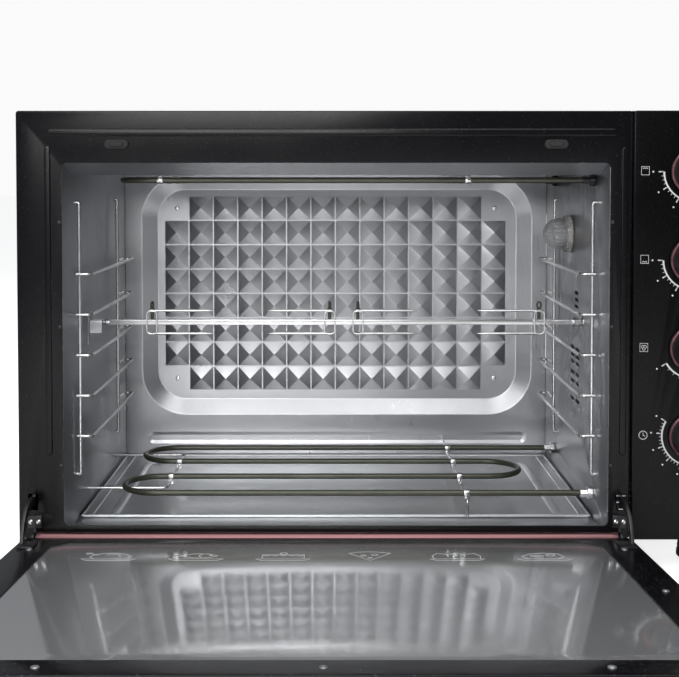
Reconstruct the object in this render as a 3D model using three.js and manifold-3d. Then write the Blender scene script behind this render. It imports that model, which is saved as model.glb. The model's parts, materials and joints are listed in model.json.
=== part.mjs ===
// A countertop oven-type air fryer with a rotisserie, its door open, as separate pieces.
// Millimetres: X to the right, Y from the front plane into the oven, Z up from the counter.

import * as THREE from "three";
import { mergeVertices } from "three/addons/utils/BufferGeometryUtils.js";
import Module from "manifold-3d";

const wasm = await Module();
wasm.setup();

// ---- Driving dimensions ----

const bodyWidth = 750;
const bodyTop = 475;
const bodyDepth = 460;
const frontLow = 36;
const fasciaWidth = 121.5;
const sheet = 0.8;
const frameThick = 2;
const gap = 0.3;

const openingWidth = 560;
const openingHeight = 370;
const sillTop = 52;
const cavityDepth = 380;
const cavityShift = -49;

const doorWidth = 616;
const doorHeight = 423.5;
const doorInner = 3.5;
const doorOuter = -18.5;
const doorShift = -9;
const doorOpenDegrees = 86.5;
const hinge = { y: -9, z: 37.5 };
const armRadius = 38;
const armOffset = 302.5;
const railRadius = 7.5;

const heater = { radius: 3.25, front: 76, pitch: 77, left: -236, right: 216, low: 63.9, high: 404.7 };
const shelfHeights = [129.8, 173.4, 217, 260.6, 304.2];
const upright = { fromWall: 5, front: 62, rear: 292, low: 88, high: 381, radius: 2 };
const shelfWire = { fromWall: 18, rear: 336, radius: 1.9 };

const spit = { y: 138, z: 244, side: 6, left: -257, right: 290, neck: 2.6, collar: 270 };
const forks = [
  { x: -208.5, faces: 1, wingTurn: 65 },
  { x: -7, faces: -1, wingTurn: 70 },
  { x: 25, faces: 1, wingTurn: 70 },
  { x: 230.6, faces: -1, wingTurn: 15 },
];
const tine = { reach: 70, offset: 13, radius: 1.6 };

const fan = { y: 180, z: 168, radius: 48, blades: 8 };
const lamp = { y: 213, z: 341.5, radius: 20 };
const knobHeights = { upper_heat_knob: 413, lower_heat_knob: 323, function_knob: 233, timer_knob: 143 };
const indicatorHeight = 86;
const foot = { x: 335, front: 55, rear: 405, height: 32.4, radius: 18 };

const pyramids = { columns: 14, rows: 8, pitch: 32.6, base: 31.2, height: 6, top: 368.4 };
const field = { halfWidth: 259, low: 93, high: 412.6, radius: 58, slope: 19.5, depth: 9 };

// ---- Worked-out dimensions ----

const bodySide = bodyWidth / 2;
const openingSide = openingWidth / 2;
const openingTop = sillTop + openingHeight;
const frameLeft = -bodySide - cavityShift;
const frameRight = bodySide - cavityShift - fasciaWidth - gap;
const wrapFront = frameThick + gap;
const rearFace = bodyDepth - 12;
const baseTop = foot.height + gap + sheet + 0.3;
const floorLevel = 36.4;
const trayLevel = 40;
const openAngle = THREE.MathUtils.degToRad(doorOpenDegrees);
const doorReach = -hinge.y + doorHeight * Math.sin(openAngle) - doorOuter * Math.cos(openAngle);
const fasciaCentre = bodySide - fasciaWidth / 2;
const armPlaces = { left: doorShift - armOffset, right: doorShift + armOffset };

// ---- Materials ----

const finish = (color, roughness, metalness, opacity = 1) =>
  new THREE.MeshStandardMaterial({ color, roughness, metalness, opacity, transparent: opacity < 1 });

const enamel = finish(0x131316, 0.32, 0);
const blackPaint = finish(0x1c1c1f, 0.5, 0);
const moulding = finish(0x101012, 0.38, 0);
const cavitySteel = finish(0x9a9fa3, 0.36, 1);
const galvanised = finish(0x8b8f92, 0.5, 1);
const chrome = finish(0xc9cccf, 0.16, 1);
const sheath = finish(0x3b3e36, 0.55, 0.4);
const roseGold = finish(0xb57a7c, 0.28, 1);
const rubber = finish(0x17171a, 0.85, 0);
const clearGlass = finish(0xd8e0e0, 0.05, 0, 0.35);
const darkGlass = finish(0x1a1c1f, 0.06, 0, 0.6);
const ceramic = finish(0xe6e0d2, 0.5, 0);
const amber = finish(0xd0482a, 0.25, 0);

// ---- Geometry helpers ----

function signedVolume(position, index) {
  const [a, b, c] = [new THREE.Vector3(), new THREE.Vector3(), new THREE.Vector3()];
  let sum = 0;
  for (let i = 0; i < index.length; i += 3) {
    a.fromArray(position, 3 * index[i]);
    b.fromArray(position, 3 * index[i + 1]);
    c.fromArray(position, 3 * index[i + 2]);
    sum += a.dot(b.cross(c));
  }
  return sum / 6;
}

// A geometry with merged vertices, no empty triangles, and its faces pointing out.
function closed(geometry) {
  geometry.deleteAttribute("normal");
  geometry.deleteAttribute("uv");
  const merged = mergeVertices(geometry, 1e-4);
  const corners = merged.index.array;
  const kept = [];
  for (let i = 0; i < corners.length; i += 3) {
    const [a, b, c] = [corners[i], corners[i + 1], corners[i + 2]];
    if (a !== b && b !== c && c !== a) kept.push(a, b, c);
  }
  if (signedVolume(merged.attributes.position.array, kept) < 0) kept.reverse();
  merged.setIndex(kept);
  return merged;
}

function solidOf(geometry) {
  const tidy = closed(geometry);
  const vertProperties = new Float32Array(tidy.attributes.position.array);
  const triVerts = new Uint32Array(tidy.index.array);
  return new wasm.Manifold(new wasm.Mesh({ numProp: 3, vertProperties, triVerts }));
}

function geometryOf(body) {
  const { vertProperties, triVerts } = body.getMesh();
  const geometry = new THREE.BufferGeometry();
  geometry.setAttribute("position", new THREE.BufferAttribute(vertProperties, 3));
  geometry.setIndex(new THREE.BufferAttribute(triVerts, 1));
  return geometry;
}

const join = (first, ...others) =>
  geometryOf(others.reduce((body, other) => body.add(solidOf(other)), solidOf(first)));

const cut = (first, ...tools) =>
  geometryOf(tools.reduce((body, tool) => body.subtract(solidOf(tool)), solidOf(first)));

function block(x0, x1, y0, y1, z0, z1) {
  const geometry = new THREE.BoxGeometry(x1 - x0, y1 - y0, z1 - z0);
  return geometry.translate((x0 + x1) / 2, (y0 + y1) / 2, (z0 + z1) / 2);
}

function roundedOutline(u0, u1, v0, v1, radius) {
  const shape = new THREE.Shape();
  shape.absarc(u1 - radius, v0 + radius, radius, -Math.PI / 2, 0);
  shape.absarc(u1 - radius, v1 - radius, radius, 0, Math.PI / 2);
  shape.absarc(u0 + radius, v1 - radius, radius, Math.PI / 2, Math.PI);
  shape.absarc(u0 + radius, v0 + radius, radius, Math.PI, 1.5 * Math.PI);
  return shape;
}

function outline(points) {
  return new THREE.Shape(points.map(([u, v]) => new THREE.Vector2(u, v)));
}

function chamferedOutline(u0, u1, v0, v1, c) {
  return outline([
    [u0 + c, v0], [u1 - c, v0], [u1, v0 + c], [u1, v1 - c],
    [u1 - c, v1], [u0 + c, v1], [u0, v1 - c], [u0, v0 + c],
  ]);
}

const extruded = (shape, depth, curveSegments) =>
  new THREE.ExtrudeGeometry(shape, { depth, bevelEnabled: false, curveSegments });

const basis = (u, v, w) =>
  new THREE.Matrix4().makeBasis(new THREE.Vector3(...u), new THREE.Vector3(...v), new THREE.Vector3(...w));

// An outline drawn in X and Z, thick along Y.
function facing(shape, y0, y1, curveSegments = 4) {
  const turn = basis([1, 0, 0], [0, 0, 1], [0, -1, 0]);
  return extruded(shape, y1 - y0, curveSegments).applyMatrix4(turn).translate(0, y1, 0);
}

// An outline drawn in Y and Z, thick along X.
function sideways(shape, x0, x1, curveSegments = 6) {
  const turn = basis([0, 1, 0], [0, 0, 1], [1, 0, 0]);
  return extruded(shape, x1 - x0, curveSegments).applyMatrix4(turn).translate(x0, 0, 0);
}

// A profile of [radius, height] turned about Z, X or Y.
function turned(profile, segments = 16, axis = "z") {
  const points = profile.map(([r, h]) => new THREE.Vector2(r, h));
  const geometry = new THREE.LatheGeometry(points, segments);
  if (axis === "z") geometry.rotateX(Math.PI / 2);
  if (axis === "x") geometry.rotateZ(-Math.PI / 2);
  return closed(geometry);
}

const rod = (radius, low, high, axis, segments = 16) =>
  turned([[0, low], [radius, low], [radius, high], [0, high]], segments, axis);

// A route of straight runs and round bends, with stations only where it turns.
class Route extends THREE.Curve {
  constructor(corners, bend, steps) {
    super();
    this.stations = [];
    const points = corners.map((corner) => new THREE.Vector3(...corner));
    const towards = (a, b) => b.clone().sub(a).normalize();
    const last = points.length - 1;
    this.add(points[0], towards(points[0], points[1]));
    for (let i = 1; i < last; i++) {
      this.turn(points[i], towards(points[i - 1], points[i]), towards(points[i], points[i + 1]), bend, steps);
    }
    this.add(points[last], towards(points[last - 1], points[last]));
  }

  add(point, tangent) {
    const before = this.stations.at(-1);
    if (!before || before.point.distanceTo(point) > 0.01) this.stations.push({ point, tangent });
  }

  turn(corner, into, out, bend, steps) {
    const angle = into.angleTo(out);
    const inward = out.clone().addScaledVector(into, -into.dot(out)).normalize();
    const start = corner.clone().addScaledVector(into, -bend * Math.tan(angle / 2));
    const centre = start.addScaledVector(inward, bend);
    for (let k = 0; k <= steps; k++) {
      const t = (angle * k) / steps;
      const tangent = into.clone().multiplyScalar(Math.cos(t)).addScaledVector(inward, Math.sin(t));
      const point = centre.clone().addScaledVector(inward, -bend * Math.cos(t));
      this.add(point.addScaledVector(into, bend * Math.sin(t)), tangent);
    }
  }

  station(u) {
    return this.stations[Math.round(u * (this.stations.length - 1))];
  }

  getPointAt(u) {
    return this.station(u).point.clone();
  }

  getTangentAt(u) {
    return this.station(u).tangent.clone();
  }
}

function tube(corners, radius, bend = 4, sides = 8, steps = 4) {
  const extrudePath = new Route(corners, bend, steps);
  const section = outline(
    Array.from({ length: sides }, (_, i) => {
      const t = (2 * Math.PI * (i + 0.5)) / sides;
      return [radius * Math.cos(t), radius * Math.sin(t)];
    })
  );
  return closed(new THREE.ExtrudeGeometry(section, { steps: extrudePath.stations.length - 1, extrudePath }));
}

// A solid between two rounded rectangles in X and Z, at two depths.
function loft(near, far) {
  const ring = ({ x, low, high, radius, y }) => {
    const points = roundedOutline(-x, x, low, high, radius).getPoints(5);
    return points.map((p) => [p.x, y, p.y]);
  };
  const [a, b] = [ring(near), ring(far)];
  const count = a.length;
  const centreOf = (end) => [0, end.y, (end.low + end.high) / 2];
  const position = [...a, ...b, centreOf(near), centreOf(far)];
  const index = [];
  for (let i = 0; i < count; i++) {
    const j = (i + 1) % count;
    index.push(i, j, count + j, i, count + j, count + i);
    index.push(2 * count, j, i, 2 * count + 1, count + i, count + j);
  }
  const geometry = new THREE.BufferGeometry();
  geometry.setAttribute("position", new THREE.Float32BufferAttribute(position.flat(), 3));
  geometry.setIndex(index);
  return closed(geometry);
}

function piece(parent, name, geometry, material) {
  const mesh = new THREE.Mesh(closed(geometry), material);
  mesh.name = name;
  parent.add(mesh);
  return mesh;
}

function group(parent, x = 0, y = 0, z = 0) {
  const made = new THREE.Group();
  made.position.set(x, y, z);
  parent.add(made);
  return made;
}

// ---- Casing ----

function makeCasing(body) {
  const arch = new THREE.Shape();
  const round = 12;
  arch.moveTo(-bodySide, baseTop + gap);
  arch.absarc(-bodySide + round, bodyTop - round, round, Math.PI, Math.PI / 2, true);
  arch.absarc(bodySide - round, bodyTop - round, round, Math.PI / 2, 0, true);
  arch.lineTo(bodySide, baseTop + gap);
  arch.lineTo(bodySide - sheet, baseTop + gap);
  arch.absarc(bodySide - round, bodyTop - round, round - sheet, 0, Math.PI / 2);
  arch.absarc(-bodySide + round, bodyTop - round, round - sheet, Math.PI / 2, Math.PI);
  arch.lineTo(-bodySide + sheet, baseTop + gap);
  const louvres = [];
  for (const low of [150, 300]) {
    for (let i = 0; i < 8; i++) {
      const y = 150 + 24 * i;
      louvres.push(block(bodySide - 3, bodySide + 1, y, y + 5, low, low + 60));
    }
  }
  const wrap = facing(arch, wrapFront, rearFace - sheet - gap, 4);
  piece(body, "outer_wrap", cut(wrap, ...louvres), blackPaint);

  const stand = (x) => block(x - 20, x + 20, rearFace - 0.5, bodyDepth, 425, 455);
  const slots = [];
  for (let i = 0; i < 12; i++) {
    slots.push(block(190 + 12 * i, 195 + 12 * i, rearFace - 3, rearFace + 1, 150, 210));
    slots.push(block(190 + 12 * i, 195 + 12 * i, rearFace - 3, rearFace + 1, 300, 360));
  }
  const back = block(-bodySide, bodySide, rearFace - sheet, rearFace, baseTop + gap, bodyTop - 0.5);
  const stamped = block(-300, 120, rearFace - sheet, rearFace + 3, 90, 410);
  const behind = block(
    -300 + sheet, 120 - sheet, rearFace - 2 * sheet, rearFace + 3 - sheet, 90 + sheet, 410 - sheet);
  const glandHole = rod(8.4, rearFace - 3, rearFace + 5, "y", 12).translate(330, 0, 70);
  const rear = cut(join(back, stamped), behind, ...slots, glandHole);
  piece(body, "back_cover", join(rear, stand(-260), stand(260)), blackPaint);

  const gland = turned(
    [[0, -8], [7.5, -8], [7.5, 1], [10, 1.2], [9, 7], [6, 11], [4, 11], [4, -6], [0, -6]], 12, "y");
  piece(body, "cable_gland", gland.translate(330, rearFace - 0.8, 70), rubber);

  const below = foot.height - 2;
  const vents = [];
  for (let i = 0; i < 6; i++) vents.push(block(270, 340, 120 + 30 * i, 126 + 30 * i, below, baseTop + 1));
  for (const x of Object.values(armPlaces)) {
    vents.push(block(cavityShift + x - 4, cavityShift + x + 4, 10, 48, below, baseTop + 1));
  }
  const plate = block(-bodySide, bodySide, 16, rearFace - sheet - gap, baseTop - sheet - 0.3, baseTop);
  piece(body, "base_plate", cut(plate, ...vents), galvanised);

  const footProfile = [
    [0, 0], [foot.radius - 2, 0], [foot.radius, 2], [foot.radius - 4, foot.height], [0, foot.height],
  ];
  for (const [side, x] of [["left", -foot.x], ["right", foot.x]]) {
    for (const [end, y] of [["front", foot.front], ["rear", foot.rear]]) {
      piece(body, `foot_${end}_${side}`, turned(footProfile, 16).translate(x, y, 0), rubber);
    }
  }
}

const slotFor = (x) => block(x - 5, x + 5, -6, frameThick + 4, 65, 82);

function makeFront(body, cavity) {
  const face = outline([
    [frameLeft, frontLow], [frameRight, frontLow], [frameRight, bodyTop], [frameLeft, bodyTop],
  ]);
  face.holes.push(roundedOutline(-openingSide, openingSide, sillTop, openingTop, 5));
  const bead = (x0, x1, z0, z1) =>
    facing(roundedOutline(x0, x1, z0, z1, Math.min(x1 - x0, z1 - z0) / 2.01), -1.6, 0.5);
  const buffers = { left: -223.4, right: 224.2 };
  const bufferHeight = 441;
  const plug = (x, w, h, y0, y1) => {
    const shape = roundedOutline(x - w / 2, x + w / 2, bufferHeight - h / 2, bufferHeight + h / 2, h / 2.01);
    return facing(shape, y0, y1, 3);
  };
  const frame = join(
    facing(face, 0, frameThick),
    bead(-295, 287, 449, 457),
    bead(-297.4, -290.8, 122, 440),
    bead(290.8, 297.6, 122, 438)
  );
  const holes = Object.values(buffers).map((x) => plug(x, 17, 6.6, -1, 4));
  const armSlots = Object.values(armPlaces).map(slotFor);
  piece(cavity, "front_frame", cut(frame, ...armSlots, ...holes), enamel);

  for (const [side, x] of Object.entries(buffers)) {
    const shape = join(plug(x, 24.5, 9.5, -3.3, -gap), plug(x, 14, 5, -5.1, -3), plug(x, 16, 5.6, -1, 6));
    piece(cavity, `door_buffer_${side}`, shape, rubber);
  }

  for (const side of ["left", "right"]) {
    const sign = side === "left" ? -1 : 1;
    const x = doorShift + sign * 300.5;
    const lug = join(
      rod(6.5, x - 1.5, x + 1.5, "x", 14).translate(0, hinge.y, hinge.z),
      block(x - 1.5, x + 1.5, hinge.y, -gap, hinge.z - 5, hinge.z + 6),
      block(x - 1.5, x + 1.5, -2.3, -gap, hinge.z, 60),
      block(x - 7, x + 7, -2.3, -gap, 47, 60)
    );
    const bore = rod(3.2, x - 4, x + 4, "x", 14).translate(0, hinge.y, hinge.z);
    piece(cavity, `hinge_lug_${side}`, cut(lug, bore), galvanised);
  }

  const fasciaLeft = bodySide - fasciaWidth;
  const panel = block(fasciaLeft, bodySide, -6, frameThick, frontLow, bodyTop);
  const hollow = block(fasciaLeft + 3, bodySide - 3, -3, frameThick + 1, frontLow + 3, bodyTop - 3);
  const spindleHoles = Object.values(knobHeights).map((z) =>
    rod(5, -8, 4, "y", 14).translate(fasciaCentre, 0, z));
  const lampHole = rod(4.4, -8, 4, "y", 12).translate(fasciaCentre, 0, indicatorHeight);
  piece(body, "control_fascia", cut(panel, hollow, ...spindleHoles, lampHole), moulding);
}

// ---- Controls ----

function makeControls(body) {
  const units = {
    upper_heat_knob: "thermostat_upper",
    lower_heat_knob: "thermostat_lower",
    function_knob: "function_switch",
    timer_knob: "timer_unit",
  };
  for (const [knob, unit] of Object.entries(units)) {
    const place = group(body, fasciaCentre, 0, knobHeights[knob]);
    const length = unit === "timer_unit" ? 44 : 34;
    const casing = join(
      block(-22, 22, 2.6, length, -20, 20),
      rod(4.4, -5.8, 4, "y", 14),
      block(-16, -12, length - 1, length + 8, -3, 3),
      block(12, 16, length - 1, length + 8, -3, 3)
    );
    piece(place, unit, cut(casing, rod(3.6, -7, 20, "y", 14)), moulding);
    const dial = join(
      turned([[0, -25], [17, -25], [19, -23], [20.5, -11], [24, -9], [24, -6.5], [0, -6.5]], 24, "y"),
      block(-3.5, 3.5, -33, -24, -19, 19),
      rod(3, -8, 18, "y", 12)
    );
    piece(place, knob, dial, moulding);
  }
  const lens = turned([[0, -9], [2.5, -8.5], [4.6, -7.5], [4.6, -6.3], [4, -6.3], [4, 8], [0, 8]], 12, "y");
  piece(body, "indicator_light", lens.translate(fasciaCentre, 0, indicatorHeight), amber);
}

// ---- Cavity ----

function ventSlots() {
  const rows = [[174, 274], [174, 266], [174, 258]];
  for (const z of [208.5, 199.4, 191.4, 179, 168.5, 159, 148]) rows.push([166, z], [195, z]);
  return rows.map(([y, z]) => block(openingSide - 3, openingSide + 4, y - 11, y + 11, z - 2, z + 2));
}

function makeWalls(cavity) {
  const low = floorLevel + 0.3;
  const high = openingTop + 3;
  const front = wrapFront;
  const wallPlate = (x0, x1) => block(x0, x1, front, cavityDepth, low, high);
  const across = (radius, y, z) => rod(radius, openingSide - 3, openingSide + 4, "x", 12).translate(0, y, z);
  const last = heater.front + 3 * heater.pitch;
  const throughHoles = [
    across(5.2, spit.y, spit.z),
    across(19.4, lamp.y, lamp.z),
    ...[heater.low, heater.high].flatMap((z) => [heater.front, last].map((y) => across(3.9, y, z))),
  ];
  const inner = openingSide;
  piece(cavity, "cavity_left_wall", wallPlate(-inner - sheet, -inner), cavitySteel);
  const right = cut(wallPlate(inner, inner + sheet), ...ventSlots(), ...throughHoles);
  piece(cavity, "cavity_right_wall", right, cavitySteel);

  const side = inner - gap;
  const folded = [
    [front, openingTop], [48, openingTop - 12], [56, openingTop + 1], [cavityDepth, openingTop + 1],
  ];
  const under = folded.map(([y, z]) => [y, z + sheet + 0.3]).reverse();
  piece(cavity, "cavity_ceiling", sideways(outline([...folded, ...under]), -side, side), cavitySteel);

  const rim = outline([
    [front, sillTop - 0.6], [front, floorLevel - sheet], [cavityDepth, floorLevel - sheet],
    [cavityDepth, floorLevel], [front + sheet, floorLevel], [front + sheet, sillTop - 0.6],
  ]);
  piece(cavity, "cavity_floor", sideways(rim, -side, side), cavitySteel);

  const tray = block(-278.5, 278.5, heater.front, cavityDepth - 2, floorLevel + gap, trayLevel);
  const dishOutline = roundedOutline(-247, 247, heater.front - 60, 340, 22);
  const dish = extruded(dishOutline, 10, 5).translate(0, 0, trayLevel - 2);
  const underRim = (x0, x1) =>
    block(x0, x1, heater.front + sheet, cavityDepth - 2 - sheet, floorLevel, trayLevel - sheet);
  const hollows = [underRim(-278.5 + sheet, -249), underRim(249, 278.5 - sheet)];
  piece(cavity, "crumb_tray", cut(tray, dish, ...hollows), cavitySteel);
}

function pyramid(x, z, y) {
  const geometry = new THREE.ConeGeometry(pyramids.base / Math.SQRT2, pyramids.height, 4);
  return geometry.rotateY(Math.PI / 4).rotateX(Math.PI).translate(x, y, z);
}

function makeBackPanel(cavity) {
  const y = cavityDepth + gap;
  const edge = { x: field.halfWidth, low: field.low, high: field.high, radius: field.radius, y };
  const inset = (from, by, depth) => ({
    x: from.x - by, low: from.low + by, high: from.high - by, radius: from.radius - by, y: depth,
  });
  const floorY = y + field.depth;
  const shell = loft(inset(edge, -sheet, y + 0.2), inset(edge, field.slope - sheet, floorY + sheet));
  const hollow = loft(inset(edge, 0, y - 0.6), inset(edge, field.slope, floorY));
  const side = openingSide - gap;
  const plate = block(-side, side, y, y + sheet, trayLevel - 3, openingTop);
  const rib = roundedOutline(-251, 254, 53.8, 69.7, 7.9);
  const bumps = [];
  for (let row = 0; row < pyramids.rows; row++) {
    for (let column = 0; column < pyramids.columns; column++) {
      const atEnd = column === 0 || column === pyramids.columns - 1;
      if (atEnd && (row === 0 || row === pyramids.rows - 1)) continue;
      const x = (column - (pyramids.columns - 1) / 2) * pyramids.pitch;
      bumps.push(pyramid(x, pyramids.top - row * pyramids.pitch, floorY + 0.2 - pyramids.height / 2));
    }
  }
  const panel = solidOf(plate).add(solidOf(shell)).subtract(solidOf(hollow));
  const stamped = panel.subtract(solidOf(facing(rib, y - 0.5, y + 0.7)));
  const embossed = bumps.reduce((panelBody, bump) => panelBody.add(solidOf(bump)), stamped);
  piece(cavity, "cavity_back_panel", geometryOf(embossed), cavitySteel);
}

function makeHeaters(cavity) {
  const { front, pitch, left, right } = heater;
  const end = openingSide + 24;
  for (const [name, z] of [["lower_heating_element", heater.low], ["upper_heating_element", heater.high]]) {
    const rows = [3, 2, 1, 0].map((n) => front + n * pitch);
    const corners = [
      [end, rows[0], z], [left, rows[0], z], [left, rows[1], z], [right, rows[1], z],
      [right, rows[2], z], [left, rows[2], z], [left, rows[3], z], [end, rows[3], z],
    ];
    piece(cavity, name, tube(corners, heater.radius, pitch / 2, 8, 4), sheath);
  }
  const wire = 1.6;
  const under = heater.low - heater.radius - wire - 0.4;
  const wallEnd = -openingSide + gap;
  const loop = [[wallEnd, 120, under], [-190, 120, under], [-190, 288, under], [wallEnd, 288, under]];
  piece(cavity, "lower_support_left", tube(loop, wire, 5, 6, 3), chrome);
  const hook = [[142.5, cavityDepth, under], [142.5, 66, under], [142.5, 66, trayLevel + 0.5]];
  piece(cavity, "lower_support_right", tube(hook, wire, 4, 6, 3), chrome);
}

function makeRackGuide(cavity, side) {
  const sign = side === "left" ? -1 : 1;
  const wall = sign * (openingSide - gap);
  const post = sign * (openingSide - upright.fromWall);
  const outer = sign * (openingSide - shelfWire.fromWall);
  const wires = [];
  for (const y of [upright.front, upright.rear]) {
    const corners = [
      [wall, y, upright.high], [post, y, upright.high],
      [post, y, upright.low], [wall, y, upright.low]
    ];
    wires.push(tube(corners, upright.radius, 2.6, 6, 3));
  }
  const weld = upright.radius + shelfWire.radius - 0.4;
  for (const z of shelfHeights) {
    const corners = [
      [post + sign * 3, upright.front - weld, z], [outer, upright.front - weld, z],
      [outer, shelfWire.rear, z], [post, shelfWire.rear, z], [post, upright.rear + 1, z],
    ];
    wires.push(tube(corners, shelfWire.radius, 5.5, 6, 3));
  }
  piece(cavity, `rack_guide_${side}`, join(...wires), chrome);
}

function makeLamp(cavity) {
  const place = group(cavity, 0, lamp.y, lamp.z);
  const wall = openingSide;
  const holder = turned(
    [[0, wall + 44], [17, wall + 44], [18.6, wall + 40], [18.6, wall - gap], [25, wall - gap], [25, wall - 5],
      [16, wall - 5], [16, wall + 30], [0, wall + 30]], 20, "x");
  piece(place, "lamp_holder", holder, ceramic);
  const r = lamp.radius;
  const glass = turned(
    [[0, wall - 33], [r * 0.6, wall - 31], [r * 0.92, wall - 25], [r, wall - 14], [r, wall - 5.3],
      [r - 1.6, wall - 5.3], [r - 1.6, wall - 14], [r * 0.84, wall - 24], [r * 0.55, wall - 29.2],
      [0, wall - 31.2]], 20, "x");
  piece(place, "lamp_glass", glass, clearGlass);
  const bulb = turned(
    [[0, wall - 24], [7, wall - 22], [10, wall - 15], [10, wall - 4],
      [6, wall + 6], [6, wall + 29.6], [0, wall + 29.6]],
    14, "x");
  piece(place, "lamp_bulb", bulb, clearGlass);
}

// ---- Rotisserie ----

function makeRotisserie(cavity) {
  const place = group(cavity, 0, spit.y, spit.z);
  const h = spit.side / 2;
  const loose = h + 0.4;
  const journal = turned(
    [[0, spit.left + 1], [2.4, spit.left + 1], [2.4, spit.left - 2], [3.6, spit.left - 2.2],
      [3.6, spit.left - 4], [spit.neck, spit.left - 4.2], [spit.neck, spit.left - 15],
      [1.4, spit.left - 17], [0, spit.left - 17]], 12, "x");
  const collar = rod(5.3, spit.collar - 1.5, spit.collar + 1.5, "x", 16);
  piece(place, "spit_rod", join(block(spit.left, spit.right, -h, h, -h, h), journal, collar), chrome);

  const wall = -openingSide + gap;
  const cradle = cut(
    join(block(wall, wall + 1.6, -13, 13, -24, 12), block(wall + 1, wall + 15, -7, 7, -12, 2.5)),
    rod(spit.neck + 1.2, wall - 1, wall + 17, "x", 14),
    block(wall - 1, wall + 17, -spit.neck - 1.2, spit.neck + 1.2, 0, 16)
  );
  piece(place, "spit_bearing", cradle, galvanised);

  const socketStart = openingSide + 1.6;
  const socket = cut(
    join(rod(7, socketStart, socketStart + 14, "x", 16), rod(4, socketStart + 13, openingSide + 52, "x", 12)),
    block(socketStart - 2, spit.right + 0.6, -loose, loose, -loose, loose)
  );
  piece(place, "drive_socket", socket, chrome);

  const motor = cut(
    join(
      rod(28, openingSide + 52, openingSide + 74, "x", 24),
      rod(9, openingSide + 42, openingSide + 53, "x", 14),
      block(openingSide + 52, openingSide + 54, -40, 40, -7, 7)
    ),
    rod(4.7, openingSide + 40, openingSide + 54, "x", 12)
  );
  piece(place, "rotisserie_motor", motor, galvanised);

  forks.forEach(({ x, faces, wingTurn }, index) => {
    const at = group(place, x, 0, 0);
    const outer = tine.offset + tine.radius / 2;
    const inner = tine.offset - tine.radius / 2;
    const strap = cut(
      facing(roundedOutline(-6.4, 6.4, -outer, outer, 5), -5, 5, 4),
      facing(roundedOutline(-4.8, 4.8, -inner, inner, 3.4), -6, 6, 4)
    );
    const tip = faces * tine.reach;
    const prongs = [-tine.offset, tine.offset].map((z) =>
      rod(tine.radius, Math.min(0, tip), Math.max(0, tip), "x", 8).translate(0, 0, z));
    const fork = cut(
      join(strap, ...prongs),
      block(-8, 8, -loose, loose, -loose, loose),
      rod(2.6, inner - 2, outer + 2, "z", 12)
    );
    piece(at, `spit_fork_${index + 1}`, fork, chrome);
    const wing = facing(roundedOutline(-3.6, 3.6, outer + 0.8, outer + 10.2, 3.5), -1.3, 1.3, 3);
    const turnedWing = wing.rotateZ(THREE.MathUtils.degToRad(wingTurn));
    piece(at, `fork_screw_${index + 1}`, join(rod(2, loose + 0.1, outer + 2, "z", 12), turnedWing), chrome);
  });
}

// ---- Convection fan ----

function makeFan(cavity) {
  const place = group(cavity, 0, fan.y, fan.z);
  const wheelFace = openingSide + 8;
  const disc = openingSide + 22;
  const blades = Array.from({ length: fan.blades }, (_, i) =>
    block(wheelFace, disc + 0.4, 8, fan.radius - 1, -0.7, 0.7).rotateX((2 * Math.PI * i) / fan.blades));
  const wheel = join(
    rod(fan.radius, disc, disc + 1.5, "x", 24),
    rod(10, wheelFace + 2, disc + 1, "x", 14),
    rod(3, disc, openingSide + 46, "x", 12),
    ...blades
  );
  piece(place, "fan_wheel", wheel, galvanised);

  const motor = cut(
    join(
      rod(28, openingSide + 36, openingSide + 70, "x", 20),
      rod(10, openingSide + 31, openingSide + 37, "x", 14)
    ),
    rod(3.7, openingSide + 29, openingSide + 48, "x", 12)
  );
  piece(place, "fan_motor", motor, galvanised);

  const x0 = openingSide + sheet + gap;
  const x1 = openingSide + 30;
  const duct = cut(
    block(x0, x1, 118, 244, 108, 286),
    block(x0 - 1, x1 - sheet, 118 + sheet, 244 - sheet, 108 + sheet, 286 - sheet),
    rod(5, x1 - 5, x1 + 5, "x", 12).translate(0, fan.y, fan.z),
    rod(5.6, x1 - 5, x1 + 5, "x", 12).translate(0, spit.y, spit.z)
  );
  piece(cavity, "air_duct", duct, galvanised);
}

// ---- Door, drawn shut about its hinge line and then swung open ----

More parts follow.
